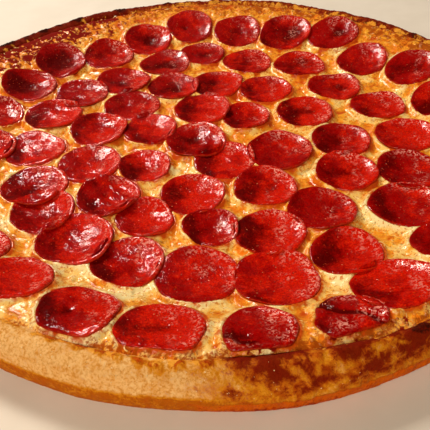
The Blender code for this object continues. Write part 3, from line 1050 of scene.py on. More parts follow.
@dataclass
class SausageSlice:
    """One slice of sausage: where it lies, how large it is and how it has curled."""

    number: int
    x: float
    y: float
    radius: float
    lift: float
    oval: float
    oval_bearing: float
    curl_bearing: float
    form: Form

    def outline(self, bearing: Array) -> Array:
        """The slice's outline, pressed in a little where the rim is in the way.

        Args:
            bearing: Bearings from the slice's middle.

        Returns:
            Distance from the slice's middle to its edge.
        """
        reach = SLICE_SPREAD * self.radius * (1.0 + self.oval * np.cos(2 * (bearing - self.oval_bearing)))
        own = random.Random(2000 + self.number)
        for waves, most in ((2, 0.024), (3, 0.030), (4, 0.022), (5, 0.018), (8, 0.010), (13, 0.006)):
            most *= own.uniform(0.3, 1.0)
            reach = reach * (1.0 + most * np.sin(waves * bearing + own.uniform(0, math.tau)))
        if self.form is Form.NOTCHED:
            reach = reach * (1.0 - 0.14 * around(bearing, 95, 32))
        if self.form is Form.CREASED:
            reach = reach * (1.0 - 0.08 * around(bearing, 168, 15))
        facing = np.cos(bearing - math.atan2(self.y, self.x))
        room = CLIMB_END - 0.0018 - float(Bed.round_radius(self.x, self.y))
        wall = room / np.maximum(facing, 0.05)
        soft = 0.0012
        return -soft * np.log(np.exp(-reach / soft) + np.exp(-np.minimum(wall, 0.06) / soft))

    def share(self, x: Array, y: Array) -> Array:
        """How far out over the slice a place is: 0 in its middle and 1 at its edge."""
        away = np.hypot(x - self.x, y - self.y)
        return away / self.outline(np.arctan2(y - self.y, x - self.x))

    def curl(self, bearing: Array, share: Array) -> Array:
        """Height by which the slice has lifted off the bed."""
        return self.lift * (1.0 + 0.35 * np.cos(2 * (bearing - self.curl_bearing))) * share**2

    @staticmethod
    def crease(u: Array, v: Array) -> Array:
        """Distance from the line across a creased slice, in radii."""
        return v - 0.20 + 0.55 * u - 0.10 * np.sin(5.0 * u)

    def shape(self, share: Array, bearing: Array, grain: Grain) -> Array:
        """Relief of the upper face: waves, a raised lip, wrinkles, and what this slice's form adds.

        Args:
            share: How far out over the slice each point is.
            bearing: Its bearing from the slice's middle.
            grain: Noise of the sausage.

        Returns:
            Height at each point.
        """
        u, v = share * np.cos(bearing), share * np.sin(bearing)
        x, y = u * 0.02 + 0.37 * self.number, v * 0.02
        own = random.Random(1000 + self.number)
        crown = 1 - share**2
        waves = 0.00095 * grain.layers(x, y, 0.0165, 2)
        wrinkles = 0.00014 * grain.layers(x + 5, y, 0.0040, 3, 0.6)
        strong = 0.45 + 0.75 * np.cos(bearing - math.radians(25) - own.uniform(-0.6, 0.6))
        strong = strong + 0.5 * waves / 0.00095
        lip = 0.00095 * strong * bump_at(share, 0.93, 0.17)
        middle = own.uniform(-0.0009, 0.0006) * bump_at(share, 0.0, 0.60)
        total = waves * (1 - 0.5 * share**2) + wrinkles + lip + middle
        if self.form is Form.BROAD:
            total = 0.6 * total + 0.0010 * crown
        elif self.form is Form.RIDGED:
            across = 0.8 * u + 0.6 * v
            ridges = bump_at(across, 0.32, 0.17) + bump_at(across, -0.28, 0.17)
            total += 0.0013 * ridges - 0.0006 * bump_at(across, 0.02, 0.14)
        elif self.form is Form.DIMPLED:
            total += 0.0004 * crown - 0.0016 * spot_at(u, v, 0.05, 0.05, 0.30)
        elif self.form is Form.PITTED:
            total += 0.0008 * crown - 0.0014 * spot_at(u, v, -0.2, 0.0, 0.19)
        elif self.form is Form.FOLDED:
            fold = v + 0.10 * np.sin(2.6 * u + 0.6)
            total += 0.0012 * bump_at(fold, -0.56, 0.18) * smooth_step(0.5, -0.3, u) + 0.0010 * crown
            total -= 0.0010 * bump_at(fold, -0.30, 0.13) * smooth_step(0.3, -0.3, u)
        elif self.form is Form.CREASED:
            crease = self.crease(u, v)
            fold = 0.0008 * crown + 0.0009 * bump_at(crease, -0.38, 0.26)
            total += fold - 0.0016 * bump_at(crease, 0.0, 0.13)
        elif own.random() < 0.55:
            at_u, at_v = own.uniform(-0.35, 0.35), own.uniform(-0.3, 0.3)
            total -= own.uniform(0.0004, 0.0011) * spot_at(u, v, at_u, at_v, own.uniform(0.2, 0.4))
        return total


@dataclass
class Slices:
    """All the slices, laid one after another so that each rests on the bed and on those below it."""

    bed: Bed
    usual_radius_mm: float = 20.3
    spread_mm: float = 0.7
    thickness: float = 0.0021
    usual_lift: float = 0.0028
    lift_spread: float = 0.0009
    steps: int = 100
    grain: Grain = Grain(23)
    field_cells: int = 641
    # Depth at which an empty place counts as covered
    nothing_laid: float = 0.02
    laid_last: tuple = (39, 38, 23)
    # Each ring of slices: its radius in mm, and for each slice its bearing in degrees and its step out in mm
    rings: tuple = (
        (
            178,
            ((0, 0), (14, -1), (29, 5), (42, -9), (55, 10), (68, -1), (82, -4), (96, 3), (109, -7))
            + ((123, -16), (136, -1), (150, -9), (165, -10), (180, -18), (193, -6), (206, 0), (219, 0))
            + ((232, -3), (247, 1), (261, 2), (276, 4), (290, 8), (301, -2), (318, -3), (332, 0), (346, 0)),
        ),
        (
            131,
            ((1, 4), (20, 2), (38, -8), (57, 4), (76, -6), (93, 8), (108, -3), (128, -14), (145, -5))
            + ((161, -4), (181, -5), (201, -5), (214, -2), (230, -2), (247, -2), (265, 1), (283, 10))
            + ((302, 7), (327, 8), (343, 3)),
        ),
        (
            90,
            ((359, -1), (29, -11), (60, -6), (87, -6), (111, -3), (139, -8), (166, -4), (194, -3), (221, 0))
            + ((242, 2), (268, 1), (288, 12), (310, 11), (336, 5)),
        ),
        (50, ((53, -9), (99, -3), (157, 0), (209, 4), (256, 10), (301, 12), (344, -3))),
        (15, ((169, -2), (287, 8))),
    )
    odd_radius_mm: tuple = (
        (6, 21.8), (13, 18.1), (21, 18.5), (22, 17.7), (23, 21.8), (32, 18.8), (40, 22.3), (42, 23.0),
        (43, 23.2), (45, 21.7), (56, 17.6), (57, 16.4), (61, 17.2), (63, 18.9), (64, 17.4), (67, 22.0),
    )
    forms: tuple = (
        (8, Form.PITTED), (9, Form.DIMPLED), (19, Form.PITTED), (20, Form.DIMPLED), (21, Form.FOLDED),
        (22, Form.CREASED), (28, Form.NOTCHED), (29, Form.NOTCHED), (42, Form.BROAD), (43, Form.BROAD),
        (55, Form.RIDGED),
    )
    # Rings over a slice's side and underside: share of its reach, level from base to top, and cut edge
    side_rings: tuple = (
        (0.968, 0.87, 0.5), (0.985, 0.76, 0.8), (0.996, 0.58, 1.0), (1.0, 0.38, 1.0), (0.994, 0.16, 1.0),
        (0.975, 0.03, 0.8), (0.93, 0.0, 0.3), (0.6, 0.0, 0.0),
    )

    def lay_out(self) -> list[SausageSlice]:
        """Settle where the slices lie.

        Returns:
            All the slices in order, numbered from 1.
        """
        odd, forms = dict(self.odd_radius_mm), dict(self.forms)
        made: list[SausageSlice] = []
        for ring_mm, places in self.rings:
            for bearing_degrees, step_mm in places:
                number = len(made) + 1
                draw = random.Random(number)
                usual = self.usual_radius_mm + draw.uniform(-self.spread_mm, self.spread_mm)
                bearing = math.radians(bearing_degrees)
                x = LAY_CENTRE[0] + (ring_mm + step_mm) * MM * math.cos(bearing)
                y = LAY_CENTRE[1] + (ring_mm + step_mm) * MM * math.sin(bearing)
                slope = float(smooth_step(CLIMB_START, CLIMB_END, Bed.round_radius(x, y)))
                lift = self.usual_lift + draw.uniform(-self.lift_spread, self.lift_spread)
                lift *= 1 - 0.5 * slope
                turns = draw.uniform(0.0, 0.035), draw.uniform(0.0, math.pi), draw.uniform(0.0, math.tau)
                form = forms.get(number, Form.CUPPED)
                made.append(SausageSlice(number, x, y, odd.get(number, usual) * MM, lift, *turns, form))
        return made

    def floor(self, one: SausageSlice, x: Array, y: Array, laid: Plot) -> Array:
        """Underside of a slice: on the bed, or draped over what is already laid.

        Args:
            one: The slice.
            x: Places across.
            y: Places along.
            laid: Heights of what is already laid.

        Returns:
            Height of the underside at each place.
        """
        bearing = np.arctan2(y - one.y, x - one.x)
        own = self.bed.height(x, y) + SLICE_GAP + one.curl(bearing, one.share(x, y))
        rest = laid.read_softly(x, y, 0.0022) + 0.0002
        soft, about = 0.0003, 0.02
        return soft * np.log(np.exp((own - about) / soft) + np.exp((rest - about) / soft)) + about

    def shell(self, one: SausageSlice, laid: Plot) -> tuple[Array, list, dict[str, Array]]:
        """One closed slice.

        Args:
            one: The slice.
            laid: Heights of what lies below, which the slice is added to.

        Returns:
            Points, faces from point 0, and the marks for the cut edge, the painted shade, the redness with its
            painted shading, the painted highlights and the room for bits.
        """
        upper = np.concatenate([np.linspace(0.035, 0.80, 22), np.linspace(0.825, 0.945, 7)])
        shoulder = smooth_step(0.90, 0.945, upper)
        side_share, side_level, side_edge = np.array(self.side_rings).T
        share = np.concatenate([upper, side_share])
        level = np.concatenate([1 - 0.06 * shoulder, side_level])
        edge = np.concatenate([0.35 * shoulder, side_edge])
        faces = ring_faces(len(share), self.steps, len(share) * self.steps, len(share) * self.steps + 1)
        bearing = np.arange(self.steps) * math.tau / self.steps
        reach = one.outline(bearing)
        x = one.x + share[:, None] * reach * np.cos(bearing)
        y = one.y + share[:, None] * reach * np.sin(bearing)
        x, y = np.append(x.ravel(), [one.x, one.x]), np.append(y.ravel(), [one.y, one.y])
        level = np.append(np.repeat(level, self.steps), [1.0, 0.0])
        share = np.append(np.repeat(share, self.steps), [0.0, 0.0])
        edge = np.append(np.repeat(edge, self.steps), [0.0, 0.0])
        relief = one.shape(share, np.arctan2(y - one.y, x - one.x), self.grain)
        thick = self.thickness * (1 - 0.15 * smooth_step(0.6, 1.0, share))
        top = SOLID_BOX[1][2] - 0.0001 * (1 - level) - 0.0001
        z = np.minimum(self.floor(one, x, y, laid) + (thick + relief) * level, top)
        near = (np.abs(laid.x - one.x) < 0.03) & (np.abs(laid.y - one.y) < 0.03)
        near &= one.share(laid.x, laid.y) < 1.0
        laid.values[near] = self.floor(one, laid.x[near], laid.y[near], laid) + self.thickness
        marks = self.colours(one, x, y, share, relief, edge)
        marks["painted_highlight"] = marks["painted_highlight"] * (level > 0.5)
        marks["room"] = (level > 0.85) * (share < 0.93) * (laid.read(x, y) < z + 0.0016).astype(float)
        return np.stack([x, y, z], 1), faces, marks

    def colours(
        self, one: SausageSlice, x: Array, y: Array, share: Array, relief: Array, edge: Array
    ) -> dict[str, Array]:
        """How a slice is coloured, with painted shade and painted highlights.

        Args:
            one: The slice.
            x: Places of its points across.
            y: Places of its points along.
            share: How far out each point is.
            relief: Relief of the upper face.
            edge: 1 on the cut edge.

        Returns:
            The marks for the cut edge, the painted shade, the redness with its painted shading and the painted
            highlights.
        """
        turn = np.arctan2(y - one.y, x - one.x)
        tone_and_shading = random.Random(500 + one.number).uniform(0.2, 0.8)
        draw = random.Random(900 + one.number)
        # The side of each slice, towards the left, that gets painted shade, and how strongly
        side, strength = math.radians(draw.uniform(165, 215)), draw.uniform(0.45, 1.0)
        left = share * np.cos(turn - side) + 0.20 * self.grain.layers(x + 3, y, 0.012, 2)
        behind = smooth_step(0.0, 0.14, y)
        # Painted shade: darker in the relief's dips and in a crescent on the shaded side; darker towards the
        # back, most in the middle
        painted_shade = np.clip(-relief / 0.0016, -0.3, 0.9)
        painted_shade += strength * bump_at(left, 0.62, 0.33) * (1 - 0.5 * edge) * (1 - 0.65 * behind)
        painted_shade += behind * (0.22 + 0.35 * bump_at(share, 0.1, 0.35))
        # Painted highlights: a pink band near the rim on the right side, and streaks in from it
        right_side = smooth_step(0.1, 0.9, np.cos(turn - math.radians(draw.uniform(0, 50))))
        painted_highlight = bump_at(share, 0.86, 0.13) * right_side * draw.uniform(0.45, 1.15)
        streaks = smooth_step(0.2, 0.7, self.grain.layers(x + 7, y, 0.010, 2) + 0.35)
        painted_highlight += 0.55 * bump_at(left, -0.30, 0.16) * streaks * (share < 0.9)
        u, v = share * np.cos(turn), share * np.sin(turn)
        # Folded and creased slices get painted shade in the slit or along the crease, and painted highlights
        # beside it
        if one.form is Form.FOLDED:
            near_left = around(turn, 226, 36)
            flap = bump_at(share, 0.85, 0.06) * near_left
            painted_shade += 1.3 * bump_at(share, 0.72, 0.07) * near_left + 0.7 * spot_at(u, v, 0.45, -0.45, 0.30)
            edge = edge + 1.2 * flap
            painted_highlight += 0.7 * flap + 0.9 * spot_at(u, v, 0.35, 0.45, 0.24)
        elif one.form is Form.CREASED:
            painted_shade += 1.1 * bump_at(one.crease(u, v), 0.0, 0.11)
            painted_highlight += 0.9 * spot_at(u, v, -0.25, -0.42, 0.26) + 0.7 * spot_at(u, v, 0.70, 0.1, 0.2)
        # Each slice's own redness, darker on the shaded side and towards the back and lighter on the other
        # side: painted shade and light
        tone_and_shading = tone_and_shading - 0.5 * left * (1 - 0.5 * behind) - 0.25 * behind
        return {"edge": edge, "painted_shade": painted_shade, "tone_and_shading": tone_and_shading, "painted_highlight": painted_highlight}

    def build(self, slices: list[SausageSlice], groups: dict[str, list[int]]) -> dict[str, bpy.types.Object]:
        """Make one piece for each node of the solids.

        Args:
            slices: All the slices.
            groups: The numbers of the slices in each node.

        Returns:
            The pieces by the name of their node.
        """
        laid = Plot(self.field_cells)
        laid.values = self.bed.height(laid.x, laid.y) - self.nothing_laid
        order = [one for one in slices if one.number not in self.laid_last]
        order += [slices[number - 1] for number in self.laid_last]
        shells = {one.number: self.shell(one, laid) for one in order}
        pieces = {}
        for node, numbers in groups.items():
            points, faces, marks = [], [], {}
            for own_points, own_faces, own_marks in (shells[number] for number in numbers):
                start = sum(map(len, points))
                faces += [[corner + start for corner in face] for face in own_faces]
                points.append(own_points)
                for mark, values in own_marks.items():
                    marks.setdefault(mark, []).append(values)
            joined = {mark: np.concatenate(values) for mark, values in marks.items()}
            pieces[node] = mesh_piece(node + "_cooked", np.concatenate(points), faces, joined)
        return pieces


@dataclass
class Ground:
    """The cheese at each of its points, before it has a height and colours.

    Args:
        x: Place across.
        y: Place along.
        bearing: Bearing from the pizza's middle.
        inward: Distance inward from the cheese's edge.
        away: Distance to the nearest slice's edge, negative under a slice.
        lift: How far that slice has lifted.
        side: 1 at that slice's right side and -1 at its left.
        lumps: Rounded ups and downs.
        ridges: Narrow ridges.
        fine: Fine relief.
        blister: 1 in the middle of a blister.
        pit: 1 in the middle of a pit.
        lip: Height of the lip against the slice.
        shown: 1 where the cheese shows, and 0 under a slice.
    """

    x: Array
    y: Array
    bearing: Array
    inward: Array
    away: Array
    lift: Array
    side: Array
    lumps: Array
    ridges: Array
    fine: Array
    blister: Array
    pit: Array
    lip: Array
    shown: Array


@dataclass
class Cheese:
    """Melted cheese over sauce: lumpy between the slices, with a lip against each of them."""

    bed: Bed
    slices: list
    fine_step: float = 0.00102
    wide_step: float = 0.0036
    under_edge: float = 0.0018
    ring_points: int = 900
    half_side: float = 0.215
    grain: Grain = Grain(37)
    # Pale cream patches: x, y and width in mm
    pale_patches: tuple = (
        (142, 49, 15), (151, 41, 12), (124, 30, 12), (109, -116, 13), (124, -104, 11), (92, -95, 10),
        (-128, -90, 14),
    )
    # Creamy places between the slices: x, y and width in mm
    cream_patches: tuple = (
        (83, 131, 9), (13, -48, 7), (-24, -40, 8), (17, -79, 8), (-44, -101, 8), (-76, -133, 11),
        (-105, -162, 8), (-44, -153, 8), (-1, -161, 10), (65, -148, 9), (-8, -189, 7), (-98, 49, 8),
        (66, -40, 7),
    )
    # Extra height of the cheese as it runs over the rim, by distance from the middle
    rim_rise: tuple = ((0.2096, 0.0), (0.2107, 0.0004), (0.2159, 0.0016), (0.2222, -0.0024))

    def distance_to_slices(self, x: Array, y: Array) -> tuple[Array, Array, Array]:
        """The nearest slice to each place.

        Args:
            x: Places across.
            y: Places along.

        Returns:
            Distance to its edge, negative under it, how far it has lifted there, and 1 on its right side.
        """
        nearest = np.full(x.shape, 0.05)
        lift = np.zeros(x.shape)
        side = np.zeros(x.shape)
        for one in self.slices:
            near = np.nonzero((np.abs(x - one.x) < 0.045) & (np.abs(y - one.y) < 0.045))[0]
            bearing = np.arctan2(y[near] - one.y, x[near] - one.x)
            reach = one.outline(bearing)
            away = np.hypot(x[near] - one.x, y[near] - one.y) - reach
            own = SLICE_GAP + one.curl(bearing, np.clip(1 + away / reach, 0, 1))
            closer = away < nearest[near]
            nearest[near[closer]] = away[closer]
            lift[near[closer]] = own[closer]
            side[near[closer]] = np.cos(bearing[closer] + math.radians(20))
        return nearest, lift, side

    def lattice_points(self, step: float, seed: int) -> tuple[Array, Array]:
        """Staggered rows of points over the whole bed, each a little out of line.

        Args:
            step: Distance between two points.
            seed: Number that fixes how far each is out of line.

        Returns:
            Places across and along.
        """
        rows = np.arange(-self.half_side, self.half_side, step * 0.866)
        columns = np.arange(-self.half_side, self.half_side, step)
        x = columns[None, :] + (np.arange(len(rows)) % 2)[:, None] * step / 2
        y = np.broadcast_to(rows[:, None], x.shape)
        jitter = np.random.default_rng(seed).uniform(-0.22, 0.22, (2, *x.shape)) * step
        return (x + jitter[0]).ravel(), (y + jitter[1]).ravel()

    def fill(self, ring: Array, x: Array, y: Array) -> tuple[Array, list, Array]:
        """Triangles between the ring and the points inside it.

        Args:
            ring: Points of the border.
            x: Places of the inner points across.
            y: Places of the inner points along.

        Returns:
            Points, triangles, and the number of each ring point among the points.
        """
        flat = np.vstack([ring, np.stack([x, y], 1)])
        count = len(ring)
        edges = [(k, (k + 1) % count) for k in range(count)]
        out = geometry.delaunay_2d_cdt([Vector(p) for p in flat.tolist()], edges, [], 1, 1e-7)
        place = np.full(count, -1)
        for index, origins in enumerate(out[3]):
            for origin in origins:
                if origin < count:
                    place[origin] = index
        return np.array([tuple(p) for p in out[0]]), [tuple(face) for face in out[2]], place

    def ground(self, x: Array, y: Array) -> Ground:
        """What both the height and the colours follow.

        Args:
            x: Places across.
            y: Places along.

        Returns:
            The cheese at those places.
        """
        grain = self.grain
        away, lift, side = self.distance_to_slices(x, y)
        warp_x = x + 0.0016 * grain.ripple(x, y, 0.006)
        warp_y = y + 0.0016 * grain.ripple(x + 1, y, 0.006)
        spot, number = grain.cells(warp_x, warp_y, 0.0075)
        # The lip stands higher on each slice's left side, where the cream mark also makes it paler: painted
        # highlight
        lip = bump_at(away, 0.0009, 0.0014) * (0.45 - 0.30 * side + 0.9 * grain.layers(x, y + 3, 0.009, 2))
        return Ground(
            x=x,
            y=y,
            bearing=np.arctan2(y, x),
            inward=self.bed.inward(x, y),
            away=away,
            lift=lift,
            side=side,
            lumps=grain.layers(warp_x, warp_y, 0.0085, 3),
            ridges=1.0 - 2.2 * np.abs(grain.layers(warp_x + 2, warp_y, 0.0048, 2)),
            fine=grain.layers(x, y, 0.0020, 2, 0.6),
            blister=np.clip(1 - (spot / 0.42) ** 2, 0, 1) * (number > 0.62),
            pit=np.clip(1 - (spot / 0.26) ** 2, 0, 1) * (number < 0.22),
            lip=lip,
            shown=smooth_step(-0.0009, 0.0003, away),
        )

    def rise(self, at: Ground) -> Array:
        """Height of the cheese's top over the bed.

        Args:
            at: The cheese.

        Returns:
            The height at each point.
        """
        rise = 0.0010 + 0.0009 * at.lumps + 0.00035 * np.clip(at.ridges, -0.4, 1) + 0.00010 * at.fine
        rise = rise + 0.0006 * at.blister - 0.0008 * at.pit
        climb = bump_at(np.maximum(at.away, 0), 0.0, 0.0026)
        rise = rise * (1 - 0.55 * climb) + (at.lift + 0.0003) * climb + 0.0010 * np.clip(at.lip, 0, 1.3)
        rim_fade = smooth_step(0.0, 0.0045, at.inward)
        height = np.clip(rise, -0.0009, 0.0046) * at.shown * rim_fade
        height += np.maximum(at.lift - 0.0003, 0) * (1 - at.shown)
        over = self.bed.cheese_edge(at.bearing) - self.bed.border_ripple(at.bearing) - CLIMB_END
        slope = np.interp(self.bed.round_radius(at.x, at.y), *zip(*self.rim_rise))
        height += slope - 0.0004 * (1 - rim_fade) + 0.0003 * smooth_step(0.001, 0.004, over) * rim_fade
        return height

    @staticmethod
    def in_patches(at: Ground, patches: tuple) -> Array:
        """How far inside any of the patches each point is, from 0 to 1."""
        spots = (spot_at(at.x, at.y, x * MM, y * MM, width * MM) for x, y, width in patches)
        return functools.reduce(np.maximum, spots)

    def colours(self, at: Ground) -> dict[str, Array]:
        """How the cheese is coloured, and where small bits may lie on it.

        Args:
            at: The cheese.

        Returns:
            The marks cream, oil, brown, sauce, herb, freckle, room and herb_room.
        """
        grain, x, y = self.grain, at.x, at.y
        pale, creamy = self.in_patches(at, self.pale_patches), self.in_patches(at, self.cream_patches)
        wide = grain.layers(x + 11, y, 0.016, 2)
        # The cream on the lip against each slice, most on its left side, is partly painted highlight
        cream = 0.22 + 0.62 * np.clip(at.lip, 0, 1) + 0.60 * pale
        cream += 0.35 * np.clip(at.ridges, 0, 1) * smooth_step(-0.1, 0.6, at.lumps)
        cream += 0.25 * at.blister - 0.35 * smooth_step(0.1, -0.7, at.lumps) + 1.05 * wide
        cream += 0.25 * smooth_step(-0.12, -0.19, y)
        cream += 0.22 * smooth_step(-0.05, -0.16, y) * smooth_step(0.05, -0.10, x) + 0.80 * creamy
        oil = 0.12 + 0.60 * smooth_step(0.15, -0.6, at.lumps) + 0.4 * at.pit
        oil -= 0.6 * np.maximum(pale, creamy) + 0.65 * wide
        # Painted shadow: dark oil colour on the cheese along each slice's right side, broken up by noise
        painted_shadow_side = smooth_step(-0.35, 0.35, grain.ripple(x + 4, y, 0.011) + 0.55 * at.side)
        oil += 0.85 * smooth_step(0.0032, 0.0004, at.away) * painted_shadow_side
        brown, sauce, less_cream = self.browning(at)
        clear = smooth_step(0.0002, 0.0016, at.away) * smooth_step(0.001, 0.004, at.inward)
        return {
            "cream": cream - less_cream,
            "oil": oil,
            "brown": brown * at.shown,
            "sauce": sauce,
            "herb": np.clip(pale + 0.04, 0, 1),
            "freckle": 0.035 * smooth_step(0.02, 0.12, y) + 0.05 * grain.layers(x + 17, y, 0.012, 2),
            "room": clear,
            "herb_room": clear * (0.04 + pale),
        }

    def browning(self, at: Ground) -> tuple[Array, Array, Array]:
        """How the cheese has browned, most of all near the rim.

        Args:
            at: The cheese.

        Returns:
            Browning, how far the sauce shows, and how much of the cream that takes away.
        """
        grain, x, y, bearing, inward = self.grain, at.x, at.y, at.bearing, at.inward
        radius = self.bed.round_radius(x, y)
        near_rim = smooth_step(0.0105, 0.002, inward)
        behind = past_either(bearing, (195, 165), (345, 365))
        back_band = smooth_step(0.034, 0.008, inward) * behind
        back_left = smooth_step(0.046, 0.014, inward) * around(bearing, 138, 24)
        back_right = smooth_step(0.030, 0.008, inward) * around(bearing, 50, 34)
        front_right = smooth_step(0.015, 0.003, inward) * around(bearing, 286, 16)
        front = near_rim * around(bearing, 259, 15)
        patches = grain.layers(x + 7, y, 0.020, 3)
        coarse = grain.layers(x + 23, y, 0.0055, 3)
        streak = 0.5 * grain.layers(bearing * 0.2, radius * 0.4, 0.0036, 3)
        streak += 0.7 * grain.layers(x + 21, y, 0.0060, 3)
        bubble, own = grain.cells(x + 3, y, 0.0062)
        ring = bump_at(bubble, 0.40, 0.10) * (own > 0.3)

        brown = 0.55 * near_rim * (0.4 + patches) + 0.5 * smooth_step(0.55, 0.95, patches + 0.3 * at.fine)
        brown = brown + 0.25 * at.blister * near_rim
        brown += back_band * (0.60 + 1.2 * streak + 0.40 * patches)
        brown += front_right * (0.60 + 1.2 * coarse)
        brown += back_right * (0.20 + 1.5 * coarse)
        brown += front * (0.9 * ring + 0.25)
        sauce = near_rim * behind * (0.35 + 0.9 * grain.layers(x, y + 9, 0.014, 3))
        sauce += back_left * (0.80 + 1.3 * streak)
        sauce += self.bed.darkness(bearing) * near_rim * (0.55 + 1.1 * coarse)
        sauce += front * 0.35 * smooth_step(0.26, 0.12, bubble) * (own > 0.3)
        return brown, sauce, 0.40 * back_band - front * (0.35 * smooth_step(0.45, 0.6, bubble) - 0.3 * ring)

    def build(self) -> bpy.types.Object:
        """Make the cheese's closed sheet with its marks.

        Returns:
            The cheese.
        """
        count = self.ring_points
        angles = np.arange(count) * math.tau / count
        edge = self.bed.cheese_edge(angles)
        ring = np.stack([edge * np.cos(angles) * (1 + OVAL), edge * np.sin(angles) * (1 - OVAL)], 1)
        fine_x, fine_y = self.lattice_points(self.fine_step, 3)
        wide_x, wide_y = self.lattice_points(self.wide_step, 4)
        fine_room = self.distance_to_slices(fine_x, fine_y)[0] > -self.under_edge
        wide_room = self.distance_to_slices(wide_x, wide_y)[0] < -self.under_edge - 0.001
        x = np.concatenate([fine_x[fine_room], wide_x[wide_room]])
        y = np.concatenate([fine_y[fine_room], wide_y[wide_room]])
        inside = self.bed.inward(x, y) > 0.0006
        top, top_faces, top_ring = self.fill(ring, x[inside], y[inside])
        inner = self.bed.inward(wide_x, wide_y) > 0.003
        low, low_faces, low_ring = self.fill(ring, wide_x[inner], wide_y[inner])
        at = self.ground(top[:, 0], top[:, 1])
        top_z = self.bed.height(top[:, 0], top[:, 1]) + self.rise(at)
        low_z = self.bed.height(low[:, 0], low[:, 1]) - CHEESE_THICKNESS
        points = np.vstack([np.column_stack([top, top_z]), np.column_stack([low, low_z])])
        low_ring = low_ring + len(top)
        faces = top_faces + [tuple(corner + len(top) for corner in reversed(face)) for face in low_faces]
        for k in range(count):
            after = (k + 1) % count
            faces.append((top_ring[k], low_ring[k], low_ring[after], top_ring[after]))
        below = np.zeros(len(low))
        marks = {name: np.concatenate([values, below]) for name, values in self.colours(at).items()}
        return mesh_piece("cheese_melted", points, faces, marks)


class Bit(Enum):
    """Shapes of the small bits."""

    DROP = "drop"
    CURL = "curl"


